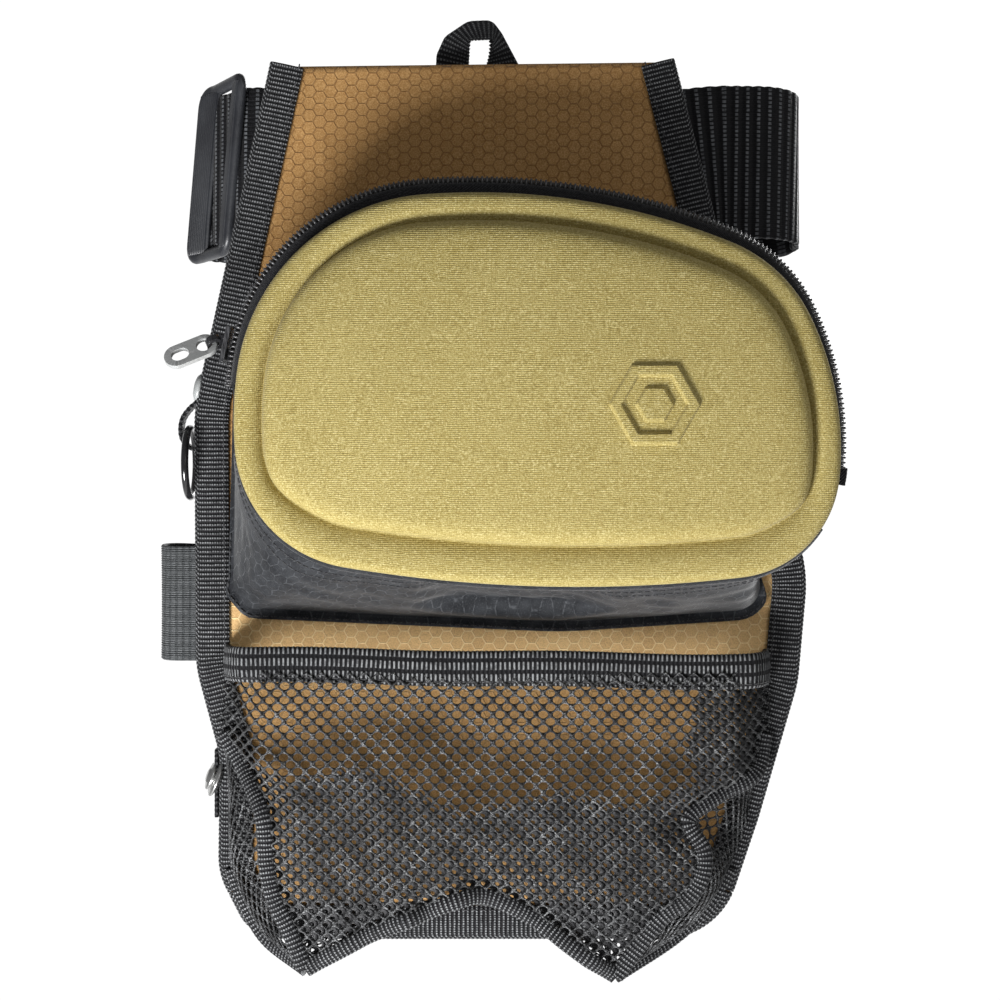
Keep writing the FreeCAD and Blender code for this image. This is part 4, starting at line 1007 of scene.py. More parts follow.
def build_case():
    rows = 34
    hem = 3
    grid = []
    heights = []
    for index in range(rows):
        share = index / (rows - 1)
        flat, y = case_wall(share)
        outward = side_normals(flat)
        low = ease(-outward[:, 1], 0.2, 0.9)
        bulge = math.sin(math.pi * share)
        fold = waves(np.concatenate([flat, np.full((len(flat), 1), share * 40.0)], axis=1), 24.0, 21)
        crease = waves(np.concatenate([flat * 1.0, np.full((len(flat), 1), share * 60.0)], axis=1), 9.0, 22)
        push = bulge * (0.9 * fold + 0.35 * crease - 0.4 + 1.2 * low)
        pleat_span = np.exp(-((flat[:, 0] - 4.0) / 27.0) ** 6) * low
        pleat_low = 0.24 + 0.10 * ((flat[:, 0] - 4.0) / 27.0) ** 2
        lip = np.exp(-((share - pleat_low + 0.07) / 0.07) ** 2)
        pleat = ease(share, pleat_low, pleat_low + 0.06) * ease(share, 0.98, 0.80)
        push = push + pleat_span * (1.3 * lip - 4.6 * pleat)
        grid.append(flat + outward * push[:, None])
        heights.append(y)
    base = grid[0]
    outward = side_normals(base)
    flange = ease(-outward[:, 1], -0.2, 0.5)
    hems = []
    for index in range(hem, 0, -1):
        reach = 2.8 * index / hem
        hems.append(base + outward * (0.25 + reach * (0.25 + 0.75 * flange))[:, None])
    flat = np.array(hems + grid)
    depths = np.array([np.full(len(base), WALL_REAR_Y)] * hem + heights)
    depths[:hem] -= 0.45 * flange[None]
    points = raised(flat, depths)
    closed = np.concatenate([points, points[:, :1]], axis=1)
    around = lengths_along(closed[rows // 2])
    up = lengths_along(points[:, 0])
    uv = np.stack(np.meshgrid(around, up), axis=-1)
    wall = surface("case_wall_cloth", points, uv, wrap_columns=True)
    bm = bmesh.new()
    bm.from_mesh(wall.data)
    bm.faces.ensure_lookup_table()
    face = bm.faces[len(bm.faces) // 2]
    middle = face.calc_center_median()
    inside = Vector((CASE_CENTRE[0] * MM, middle.y, CASE_CENTRE[1] * MM))
    if face.normal.dot(middle - inside) < 0:
        bmesh.ops.reverse_faces(bm, faces=bm.faces)
    bm.to_mesh(wall.data)
    bm.free()
    thickened(wall, 1.1, inner_slot=1)
    finished(wall, [SLATE, LINING], "slate_fabric", "pack", "case_gusset")
    build_case_seams(points, hem)
    build_case_floor()


def build_case_seams(points, hem):
    """Double row of stitches near the front of the wall, and one row on the hem, in black thread."""
    centre = np.array([CASE_CENTRE[0] * MM, 0.0, CASE_CENTRE[1] * MM])
    for name, row in (("case_seam_front", hem + 30), ("case_seam_rear", hem + 27)):
        line = points[row]
        out = unit((line - centre) * np.array([1.0, 0.0, 1.0]))
        stitches(name, line + out * 0.15 * MM, 2.3, 1.7, 0.2, closed=True, material=THREAD)
    line = points[1][points[1][:, 2] < -0.12]
    stitches("case_hem_stitching", line - np.array([0, 0.25 * MM, 0]), 2.6, 1.8, 0.22, material=THREAD)


def build_case_floor():
    """Lining behind the opening, quilted to the backpad."""
    line = rounded(CASE_BASE, 2.0)
    outward = side_normals(line)
    edge = line - outward * 1.2
    centre = np.array(CASE_CENTRE)
    shares = np.concatenate([[0.0], np.linspace(0.03, 1.0, 36)])[:, None, None]
    flat = centre + (edge - centre)[None] * (1 - shares)
    bump = 1.1 * ease(shares[..., 0], 0.0, 0.25) + 0.3 * waves(flat, 20.0, 17)
    uv = np.concatenate([flat, flat[:, :1]], axis=1) * MM
    floor = surface("case_rear_lining", raised(flat, PAD_FRONT_Y - 1.9 - bump), uv, wrap_columns=True, merge=True)
    finished(mend_outward(floor, -1), LINING, "lining", "pack", "case_rear_liner")


# ---------------------------------------------------------------- zip
def zip_line(share, spacing, low_left=ZIP_LEFT_SHOWN_Z, low_right=ZIP_RIGHT_END_Z):
    """The stretch of the zip that shows, from left to right, at a share of the coil's offset from the lid."""
    edge, outward = lid_edge(0.5)
    line = edge + to_coil(outward) * share
    keep = np.where(line[:, 0] < 0, line[:, 1] > low_left, line[:, 1] > low_right)
    first = int(np.argmax(keep & ~np.roll(keep, 1)))
    line = np.roll(line, -first, axis=0)
    line = line[np.roll(keep, -first)]
    line = resample(line, spacing)
    return line, side_normals(line, closed=False)


def coil_teeth(name, y_outer, y_inner, phase, body, node):
    """Turns of the nylon coil: one rounded loop for each tooth."""
    line, outward = zip_line(1.0, 1.5)
    step = tangents(line)
    parts = []
    ring = np.linspace(0, 2 * math.pi, 8, endpoint=False)
    for dot, out, way in zip(line + step * phase, outward, step):
        rings = []
        for across, size in ((-1.25, 0.25), (-1.0, 0.7), (-0.45, 0.95), (0.45, 0.95), (1.0, 0.7), (1.25, 0.25)):
            for angle in ring:
                flat = dot + out * across + way * 0.52 * size * math.cos(angle)
                y = (y_outer + y_inner) / 2 + (y_outer - y_inner) / 2 * size * math.sin(angle)
                rings.append((flat[0] * MM, y * MM, flat[1] * MM))
        faces = []
        for level in range(5):
            for side in range(8):
                a = level * 8 + side
                b = level * 8 + (side + 1) % 8
                faces.append([a, b, b + 8, a + 8])
        faces.append(list(range(8))[::-1])
        faces.append([40 + side for side in range(8)])
        parts.append((rings, faces))
    teeth = mend(merged(name, parts))
    return finished(teeth, COIL, "zip_coil", body, node)


def build_zip():
    coil_teeth("lid_coil_teeth", -41.9, -40.0, 0.0, "lid", "lid_zip_coil")
    coil_teeth("case_coil_teeth", -39.2, -37.4, 0.75, "pack", "case_zip_coil")
    outer, _ = zip_line(1.0, 0.7)
    count = len(outer)
    inner, _ = zip_line(0.0, 0.7)
    inner = sample(inner, np.linspace(0, 1, count))
    flat = np.array([inner + (outer - inner) * share for share in (-0.25, 0.0, 0.2, 0.4, 0.6, 0.76, 0.86)])
    depth = np.array([-42.1, -42.2, -42.3, -42.2, -42.0, -41.7, -41.3])[:, None]
    rows, columns = flat.shape[:2]
    line = outer
    outward = side_normals(line, closed=False)
    along = lengths_along(line) * MM
    uv = np.stack([np.repeat(np.linspace(0, 8.1 * MM, rows)[:, None], columns, axis=1),
                   np.repeat(along[None], rows, axis=0)], axis=-1)
    tape = surface("lid_tape", raised(flat, depth + 0 * flat[..., 0]), uv)
    thickened(mend_outward(tape, -1), 0.5)
    finished(tape, TWILL, "zip_tape", "lid", "lid_zip_tape")
    flat = np.array([line + outward * -0.3] * 5)
    depth = np.linspace(-37.8, -35.0, 5)[:, None]
    uv = np.stack([np.repeat(np.linspace(0, 3 * MM, 5)[:, None], columns, axis=1),
                   np.repeat(along[None], 5, axis=0)], axis=-1)
    inner = surface("case_tape", raised(flat, depth + 0 * flat[..., 0]), uv)
    thickened(inner, 0.5, offset=0.0)
    finished(inner, TWILL, "zip_tape", "pack", "case_zip_tape")
    build_hinge()


def build_hinge():
    """Fabric hinge strip under the lid, between the case and the lid."""
    edge, outward = lid_edge(0.8)
    keep = (edge[:, 1] < ZIP_LEFT_END_Z - 8) & (edge[:, 0] > -74) & (edge[:, 0] < 98)
    first = int(np.argmax(keep & ~np.roll(keep, 1)))
    line = np.roll(edge, -first, axis=0)[np.roll(keep, -first)]
    out = np.roll(outward, -first, axis=0)[np.roll(keep, -first)]
    stops = ((-1.8, -42.3), (-0.6, -42.35), (0.4, -42.2), (0.9, -41.8), (1.1, -41.3), (1.2, -40.6))
    flat = np.array([line + out * offset for offset, _ in stops])
    depth = np.array([y for _, y in stops])[:, None] + 0 * flat[..., 0]
    along = lengths_along(line) * MM
    up = np.linspace(0, 11 * MM, len(stops))
    uv = np.stack([np.repeat(along[None], len(stops), axis=0),
                   np.repeat(up[:, None], len(line), axis=1)], axis=-1)
    hinge = surface("lid_hinge_cloth", raised(flat, depth), uv)
    thickened(hinge, 0.7, offset=0.0)
    apply_modifiers(hinge)
    finished(hinge, SLATE, "slate_fabric", None, "lid_hinge_strip")
    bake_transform(hinge)


def apply_modifiers(thing):
    depsgraph = bpy.context.evaluated_depsgraph_get()
    mesh = bpy.data.meshes.new_from_object(thing.evaluated_get(depsgraph))
    thing.modifiers.clear()
    thing.data = mesh


# ---------------------------------------------------------------- mesh pocket, in mm
# front seam of the bellows: (x, z) down each side, and the wavy bottom between them
SEAM_LEFT = [(-87.8, -166.0), (-89.3, -184.0), (-79.8, -199.4), (-74.8, -209.4), (-73.5, -224.5),
             (-71.3, -234.6), (-66.4, -245.0), (-61.3, -256.9)]
SEAM_RIGHT = [(86.8, -166.0), (85.6, -184.0), (82.0, -196.5), (70.0, -202.5), (59.4, -210.0), (64.1, -219.5),
              (63.5, -228.3), (58.5, -235.5), (50.3, -241.5), (36.5, -259.0)]
SEAM_BOTTOM = [(-61.3, -256.9), (-42.4, -245.9), (-25.0, -238.4), (-7.0, -233.0), (9.0, -239.5),
               (21.0, -248.0), (36.5, -259.0)]
BELLOWS_TOP_Z = -184.0
NET_PITCH = 4.5              # between holes along a row
NET_ROW = 2.2                # between rows, which are staggered by half a pitch
HOLE = (1.50, 1.16)          # half width and half height of a hole
POCKET_MIDDLE_Y = -26.4
POCKET_EDGE_Y = -9.0
SEAM_FRONT_Y = -23.5


def at_height(line, z):
    """X of a side seam at a height."""
    line = smooth_line(line, 0.5)
    return np.interp(-np.asarray(z), -line[:, 1], line[:, 0])


def pocket_depth(x, z):
    """Depth of the pocket's front, which bellies out between its seams."""
    left = at_height(SEAM_LEFT, z)
    right = at_height(SEAM_RIGHT, z)
    edge = POCKET_EDGE_Y + (SEAM_FRONT_Y - POCKET_EDGE_Y) * ease(-z, 188.0, 212.0)
    inward = np.minimum(x - left, right - x)
    belly = 4.6 * np.sin(math.pi * np.clip((-z - 160.0) / 92.0, 0, 1))
    middle = POCKET_MIDDLE_Y - belly
    flat = np.stack([x, z], axis=-1)
    slack = ease(-z, 172.0, 215.0)
    ripple = 1.9 * slack * waves(flat * np.array([1.0, 0.35]), 15.0, 31) + 0.7 * slack * waves(flat, 8.0, 32)
    fold = 2.6 * slack * np.exp(-((x + 6.0 + 0.25 * (z + 233.0)) / 7.0) ** 2) * ease(-z, 205.0, 232.0)
    return edge + (middle - edge + ripple + fold) * ease(inward, -1.0, 15.0)


def net(name, place, u_span, v_span, inside, nodes, mouth=1.0, material=NET):
    """Knotted net over a surface: staggered oval holes, yarn rounded front and back; mouth scales the holes."""
    corners = np.array([(NET_PITCH / 2, 0), (0, NET_ROW), (-NET_PITCH / 2, 0), (0, -NET_ROW)])
    border = np.concatenate([corners[k] + (corners[(k + 1) % 4] - corners[k]) * np.linspace(0, 1, 3, endpoint=False)[:, None]
                             for k in range(4)])
    knots = np.tile([1.35, 0.95, 0.95], 4)
    turn = np.arctan2(border[:, 1] / HOLE[1], border[:, 0] / HOLE[0])
    hole = mouth * np.stack([HOLE[0] * np.cos(turn), HOLE[1] * np.sin(turn)], axis=1)
    spots = []
    index = {}
    faces = []
    edge_uses = {}

    def point(u, v, lift):
        key = (round(u * 50), round(v * 50), lift > 0, lift < 0)
        if key not in index:
            index[key] = len(spots)
            spots.append((u, v, lift))
        return index[key]

    for row in range(int(v_span[0] / NET_ROW) - 1, int(v_span[1] / NET_ROW) + 2):
        for column in range(int(u_span[0] / NET_PITCH) - 1, int(u_span[1] / NET_PITCH) + 2):
            centre = np.array([(column + 0.5 * (row % 2)) * NET_PITCH, row * NET_ROW])
            if not inside(*centre):
                continue
            around = centre + border
            rim_spots = centre + hole
            front = [point(*around[k], 0.36 * knots[k]) for k in range(12)]
            rear = [point(*around[k], -0.36 * knots[k]) for k in range(12)]
            rim = [point(*rim_spots[k], 0.0) for k in range(12)]
            for k in range(12):
                following = (k + 1) % 12
                faces.append([front[k], front[following], rim[following], rim[k]])
                faces.append([rear[following], rear[k], rim[k], rim[following]])
                pair = (front[k], front[following], rear[following], rear[k])
                key = tuple(sorted(pair[:2]))
                edge_uses.setdefault(key, []).append(pair)
    for pairs in edge_uses.values():
        if len(pairs) == 1:
            a, b, c, d = pairs[0]
            faces.append([b, a, d, c])
    spots = np.array(spots)
    u, v = spots[:, 0], spots[:, 1]
    base = place(u, v)
    normal = unit(np.cross(place(u + 0.5, v) - place(u - 0.5, v), place(u, v + 0.5) - place(u, v - 0.5)))
    thing = mend(mesh_object(name, (base + normal * spots[:, 2:]) * MM, faces))
    finished(thing, material, "mesh", "pack", *nodes)
    return thing


def bellows(front, rear, puff, away):
    """Ruled surface between a front seam and a rear seam, puffed away from the pocket."""
    front = smooth_line(front, 0.5)
    rear = smooth_line(rear, 0.5)
    long = (lengths_along(front)[-1] + lengths_along(rear)[-1]) / 2
    wide = float(np.mean(np.linalg.norm(resample(front, 5.0)[:8] - resample(rear, 5.0)[:8], axis=1)))
    widths = np.linalg.norm(sample(front, np.linspace(0, 1, 9)) - sample(rear, np.linspace(0, 1, 9)), axis=1)
    wide = float(widths.max())
    away = np.array(away)

    def place(u, v):
        along = np.clip(u / long, 0, 1)
        across = np.clip(v / wide, 0, 1)
        a = sample(front, along)
        b = sample(rear, along)
        bulge = np.sin(math.pi * across) * np.sin(math.pi * along) ** 0.6
        spot = a * (1 - across[:, None]) + b * across[:, None]
        flutter = 1.0 + 0.35 * waves(np.stack([u, v], axis=-1), 14.0, 41)
        return spot + away * (puff * bulge * flutter)[:, None]

    return place, long, wide


def sample(line, share):
    """Points of a line at shares of its length."""
    along = lengths_along(line)
    return np.stack([np.interp(np.asarray(share) * along[-1], along, column) for column in line.T], axis=-1)


def seam_points(flat_line, spacing=0.36):
    """A front seam's (x, z) line as (x, y, z), in mm."""
    line = smooth_line(flat_line, spacing)
    y = pocket_depth(line[:, 0], line[:, 1])
    return np.stack([line[:, 0], y, line[:, 1]], axis=1)


def seam_tape(name, line, width, *nodes, front_bias=1.0, thickness=1.7):
    """Ribbed tape folded along a seam line given in mm."""
    line = resample(line, BINDING_RIB / 4)
    step = tangents(line)
    facing = np.array([0.0, -front_bias, 0.0])
    across = unit(np.cross(step, facing))
    normal = unit(np.cross(across, step))
    tape = band(name, line * MM, across, normal, np.array(tape_profile(width, thickness, 0.35, 9)) * MM,
                ribs=(BINDING_RIB * MM, 0.18 * MM))
    return finished(tape, GROSGRAIN_NARROW, "grosgrain", "pack", *nodes)


def build_pocket():
    left = smooth_line(SEAM_LEFT, 1.0)
    right = smooth_line(SEAM_RIGHT, 1.0)
    bottom = smooth_line(SEAM_BOTTOM, 1.0)

    def inside(u, v):
        if v > -164.0 or v < -258.0:
            return False
        low = np.interp(u, bottom[:, 0], bottom[:, 1])
        inner_left = np.interp(-v, -left[:, 1], left[:, 0])
        inner_right = np.interp(-v, -right[:, 1], right[:, 0])
        return inner_left - 0.6 < u < inner_right + 0.6 and v > low - 0.8

    def front(u, v):
        return np.stack([u, pocket_depth(u, v), v], axis=-1)

    net("pocket_net_front", front, (-92.0, 90.0), (-260.0, -164.0), inside,
        ["pocket_mesh_front"])

    def folded(u, v):
        edge = -207.0 + 3.5 * np.sin(u / 9.0) + 0.16 * np.abs(u - 8.0)
        return inside(u, v) and (v < edge or u > 60.0 + 2.0 * np.sin(v / 7.0))

    def behind_front(u, v):
        return front(u + NET_PITCH / 4, v + NET_ROW / 2) + np.array([0.0, 3.2, 0.0])

    # second layer of net behind the lower front in plain black thread: partly the net's real fold, partly painted shade
    # that fills the front net's holes with black
    net("pocket_net_fold", behind_front, (-92.0, 90.0), (-260.0, -164.0), folded,
        [], mouth=0.62, material=THREAD)
    corner_left = np.array([-61.3, SEAM_FRONT_Y, -256.9])
    corner_right = np.array([36.5, SEAM_FRONT_Y, -259.0])
    front_left = seam_points(SEAM_LEFT[1:], 3.0)
    front_right = seam_points(SEAM_RIGHT[2:], 3.0)
    front_left[-1] = corner_left
    front_right[-1] = corner_right
    rear_left = np.array([(-89.5, -7.4, -184.0), (-88.0, -7.6, -200.0), (-87.6, -7.8, -214.0), (-87.0, -8.0, -228.0),
                          (-82.0, -8.6, -240.0), (-75.0, -11.0, -250.5), corner_left])
    rear_right = np.array([(82.5, -7.4, -196.5), (81.0, -7.6, -206.0), (79.0, -7.8, -216.0), (74.0, -8.0, -228.0),
                           (67.0, -8.6, -240.0), (56.0, -11.0, -250.0), corner_right])
    for side, ahead, behind, away in (("left", front_left, rear_left, (-1.0, 0.0, -0.2)),
                                      ("right", front_right, rear_right, (1.0, -0.2, -0.2))):
        place, long, wide = bellows(ahead, behind, 2.4, away)
        net(f"pocket_net_{side}", place, (0.0, long), (0.0, wide),
            lambda u, v, long=long, wide=wide: 0 < u < long and 0 < v < wide,
            [f"pocket_gusset_{side}"])
        seam_tape(f"pocket_seam_{side}_tape", seam_points((SEAM_LEFT if side == "left" else SEAM_RIGHT)[1:]),
                  5.2, f"pocket_seam_{side}")
        seam_tape(f"pocket_corner_{side}_tape", smooth_line(behind[-4:], 0.5), 4.6)
    floor_front = seam_points(SEAM_BOTTOM, 3.0)
    floor_rear = np.array([corner_left, (-62.0, -10.5, -249.5), (-46.0, -8.4, -241.5), (-20.0, -8.0, -238.6),
                           (10.0, -8.0, -240.0), (34.0, -9.5, -249.0), corner_right])
    place, long, wide = bellows(floor_front, floor_rear, 2.0, (0.0, 0.0, -1.0))
    net("pocket_net_floor", place, (0.0, long), (0.0, wide), lambda u, v: 0 < u < long and 0 < v < wide,
        ["pocket_floor"])
    seam_tape("pocket_seam_bottom_tape", seam_points(SEAM_BOTTOM), 5.0, "pocket_seam_bottom")
    build_pocket_top()


def build_pocket_top():
    """Wide ribbed tape over the mouth of the pocket, turned back to the backpad at both ends."""
    plan = smooth_line([(-88.0, -7.4), (-87.2, -13.5), (-83.4, -20.8), (-76.0, -24.6), (-50.0, -25.6),
                        (0.0, -26.2), (50.0, -25.6), (75.0, -24.6), (81.8, -20.8), (85.2, -13.5), (86.0, -7.4)],
                       BINDING_RIB / 4)
    drop = -160.9 - 1.9 * ease(plan[:, 0], -80.0, 80.0) + 0.35 * np.sin(plan[:, 0] / 13.0)
    line = np.stack([plan[:, 0], plan[:, 1], drop], axis=1)
    step = tangents(line)
    across = np.tile((0.0, 0.0, 1.0), (len(line), 1))
    across = unit(across - step * np.sum(across * step, axis=1, keepdims=True))
    normal = unit(np.cross(step, across))
    if normal[len(normal) // 2][1] > 0:
        normal = -normal
    tape = band("pocket_top_tape", line * MM, across, normal, np.array(tape_profile(11.0, 1.8, 0.3, 15)) * MM,
                ribs=(BINDING_RIB * MM, 0.18 * MM))
    finished(tape, GROSGRAIN_WIDE, "grosgrain", "pack", "pocket_top_binding")
    low = line + across * -4.0 + normal * 1.15
    stitches("pocket_top_stitching", low[8:-8:3] * MM, 2.9, 2.0)


# ---------------------------------------------------------------- belt, in mm
BELT_WIDTH = 50.0
BELT_THICKNESS = 2.0
BELT_RIB = 3.6
BELT_FRONT_Y = 4.0
BELT_LAYERS_Y = (34.0, 40.0, 46.0)
BELT_RIGHT_X = 85.0
BELT_LEFT_X = -80.0
STOW_LEFT_X = -60.0
STOW_RIGHT_X = 80.0
CORNER_RADIUS = 8.0
LOOP_RADIUS = 3.2            # centre of the webbing around a buckle's bar
FEMALE_BAR_X = -37.0
MALE_BAR_X = 16.5
SLANT = math.radians(30)


def plan_path(start, heading, moves, spacing):
    """Line seen from above, of ("go", length) and ("turn", degrees, radius); left turns are positive."""
    angle = math.radians(heading)
    point = np.array(start, dtype=float)
    points = [point]
    for move in moves:
        if move[0] == "go":
            point = point + np.array([math.cos(angle), math.sin(angle)]) * move[1]
            points.append(point)
            continue
        turn = math.radians(move[1])
        hand = math.copysign(1.0, turn)
        centre = point + np.array([-math.sin(angle), math.cos(angle)]) * hand * move[2]
        for part in np.linspace(0, 1, 25)[1:]:
            way = angle + turn * part
            points.append(centre - np.array([-math.sin(way), math.cos(way)]) * hand * move[2])
        point = points[-1]
        angle += turn
    return resample(np.array(points), spacing)


def standing_band(name, plan, z_centre, profile, ribs=None, droop=None):
    """Strap that stands on edge along a plan line; droop gives a height change in mm."""
    line = np.stack([plan[:, 0], plan[:, 1], np.full(len(plan), z_centre)], axis=1)
    if droop is not None:
        line[:, 2] += droop(line)
    step = tangents(line)
    across = np.tile((0.0, 0.0, 1.0), (len(line), 1))
    across = unit(across - step * np.sum(across * step, axis=1, keepdims=True))
    normal = unit(np.cross(step, across))
    return band(name, line * MM, across, normal, np.array(profile) * MM, ribs)


def webbing_profile(width=BELT_WIDTH, thickness=BELT_THICKNESS):
    return tape_profile(width, thickness - 0.5, 0.0, 21)


def slant_length():
    return (BELT_LAYERS_Y[2] - BELT_FRONT_Y - 2 * CORNER_RADIUS) / math.cos(SLANT)


def build_belt():
    near, middle, rear = BELT_LAYERS_Y
    fold = (middle - near) / 2
    slant = slant_length()
    rear_start = BELT_LEFT_X - slant / 2
    end = FEMALE_BAR_X - LOOP_RADIUS
    spacing = BELT_RIB / 9
    moves = [
        ("go", end - STOW_LEFT_X), ("turn", 180, fold), ("go", BELT_RIGHT_X - STOW_LEFT_X),
        ("turn", -180, (near - BELT_FRONT_Y) / 2), ("go", BELT_RIGHT_X - BELT_LEFT_X),
        ("turn", -60, CORNER_RADIUS), ("go", slant), ("turn", -120, CORNER_RADIUS),
        ("go", STOW_RIGHT_X - rear_start), ("turn", -180, fold),
    ]
    plan = plan_path((end, middle), 180, moves, spacing)
    outward = np.array([-math.cos(SLANT), -math.sin(SLANT)])
    way = np.array([-math.sin(SLANT), math.cos(SLANT)])
    start = np.array([BELT_LEFT_X - CORNER_RADIUS * math.cos(SLANT), BELT_FRONT_Y + CORNER_RADIUS / 2])
    local = plan - start
    along = local @ way
    near_slant = np.exp(-((local @ outward) / 4.0) ** 2)
    plan = plan + outward * (1.9 * np.exp(-((along - 13.5) / 5.2) ** 2) * near_slant)[:, None]
    plan = resample(plan, spacing)

    def droop(line):
        at_fold = ease(line[:, 0], 84.0, 101.0) * ease(line[:, 1], 3.0, 34.0)
        raised_ends = 2.5 * ease(np.abs(line[:, 0]), 48.0, 76.0) * (1 - ease(line[:, 1], 24.0, 34.0))
        return raised_ends - 1.6 * at_fold * (1 - ease(line[:, 1], 30.0, 34.5)) + 0.5 * np.sin(line[:, 0] / 31.0)

    webbing = standing_band("belt_webbing_strap", plan, 0.0, webbing_profile(), (BELT_RIB * MM, 0.26 * MM), droop)
    finished(webbing, WEBBING, "webbing", "pack", "belt_webbing")
    turns = np.linspace(0, 2 * math.pi, 60, endpoint=False)
    for name, x, body, reach in (("female_bar_loop", FEMALE_BAR_X, "pack", 1.0), ("male_bar_loop", MALE_BAR_X, "male_buckle", 1.0)):
        ring = np.stack([x + LOOP_RADIUS * np.cos(turns), middle + LOOP_RADIUS * np.sin(turns), 0 * turns], axis=1)
        out = np.stack([np.cos(turns), np.sin(turns), 0 * turns], axis=1)
        loop = band(name, ring * MM, np.tile((0.0, 0.0, 1.0), (60, 1)), out,
                    np.array(webbing_profile()) * MM, (LOOP_RADIUS * 2 * math.pi / 6 * MM, 0.2 * MM), closed=True)
        if body == "pack":
            finished(loop, WEBBING, "webbing", body)
        else:
            finished(loop, WEBBING, "webbing", body, "buckle_male_loop")
    slack = np.stack([np.linspace(MALE_BAR_X + LOOP_RADIUS, STOW_RIGHT_X, 170), np.full(170, middle)], axis=1)
    run = standing_band("belt_slack_webbing", slack, 0.0, webbing_profile(), (BELT_RIB * MM, 0.26 * MM))
    finished(run, WEBBING, "webbing", None, "belt_slack_run")
    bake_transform(run)
    for name, x in (("female_loop_stitching", end - 6.0), ("stow_stitching", STOW_LEFT_X + 14.0)):
        for share in (0, 1):
            line = np.array([(x - 3 * share, middle - 1.35, z) for z in (-21.0, 21.0)]) * MM
            stitches(f"{name}_{share}", resample(line, 0.001), 3.0, 2.2)
    build_keeper(near, rear)


def build_keeper(near, rear):
    """Elastic keeper round the folded belt."""
    half = BELT_WIDTH / 2 + 1.2
    corners = [((near - 2.2, -half), 2.0), ((near - 2.2, half), 2.0), ((rear + 2.2, half), 2.0), ((rear + 2.2, -half), 2.0)]
    ring = rounded(corners, 0.5)
    line = np.stack([np.full(len(ring), -50.0), ring[:, 0], ring[:, 1]], axis=1)
    out = side_normals(ring)
    if np.sum(out * (ring - ring.mean(axis=0))) < 0:
        out = -out
    normal = np.stack([np.zeros(len(ring)), out[:, 0], out[:, 1]], axis=1)
    keeper = band("belt_keeper_elastic", line * MM, np.tile((1.0, 0.0, 0.0), (len(ring), 1)), normal,
                  np.array(tape_profile(8.0, 1.2, 0.0, 22)) * MM, closed=True)
    finished(keeper, ELASTIC, "elastic", "pack", "belt_keeper")


def build_sleeve():
    """Fabric channel for the belt, stitched down above and below it."""
    xs = np.linspace(-45.0, 45.0, 70)
    stops = [(-29.5, 0.7), (-28.3, 0.9), (-26.9, 0.9), (-26.3, 2.4), (-26.0, 4.6), (-25.2, 6.2), (-22.0, 6.9),
             (-12.0, 7.2), (0.0, 7.3), (12.0, 7.2), (22.0, 6.9), (25.2, 6.2), (26.0, 4.6), (26.3, 2.4),
             (26.9, 0.9), (28.3, 0.9), (29.5, 0.7)]
    section = resample(smooth_line(stops, 0.5), 0.9)
    x = np.repeat(xs[:, None], len(section), axis=1)
    z = np.repeat(section[None, :, 0], len(xs), axis=0)
    y = np.repeat(section[None, :, 1], len(xs), axis=0)
    lift = ease(y, 2.0, 6.0)
    y = y + lift * (0.35 * waves(np.stack([x, z], axis=-1), 13.0, 51) - 0.35)
    points = np.stack([x, y, z], axis=-1) * MM
    uv = np.stack([x, np.repeat(lengths_along(section)[None], len(xs), axis=0)], axis=-1) * MM
    cover = mend_outward(surface("belt_sleeve_cloth", points, uv), 1)
    thickened(cover, 0.9)
    finished(cover, SLATE, "lining", "pack", "belt_sleeve")
    for index, z_line in enumerate((-28.4, -27.4, 27.4, 28.4)):
        line = np.array([(x, 1.0, z_line) for x in np.linspace(-44.0, 44.0, 60)]) * MM
        stitches(f"sleeve_stitching_{index}", line, 2.6, 1.9, material=THREAD_GREY)
    for side, x_edge in (("left", -44.6), ("right", 44.6)):
        line = resample(np.stack([np.full(len(section), x_edge), section[:, 1] + 0.1, section[:, 0]], axis=1), 0.4)
        step = tangents(line)
        across = np.tile((1.0, 0.0, 0.0), (len(line), 1))
        normal = unit(np.cross(step, across))
        trim = band(f"sleeve_trim_{side}", line * MM, across, normal, np.array(tape_profile(3.6, 1.3, 0.2, 7)) * MM,
                    ribs=(BINDING_RIB * MM, 0.15 * MM))
        finished(trim, GROSGRAIN_NARROW, "grosgrain", "pack")


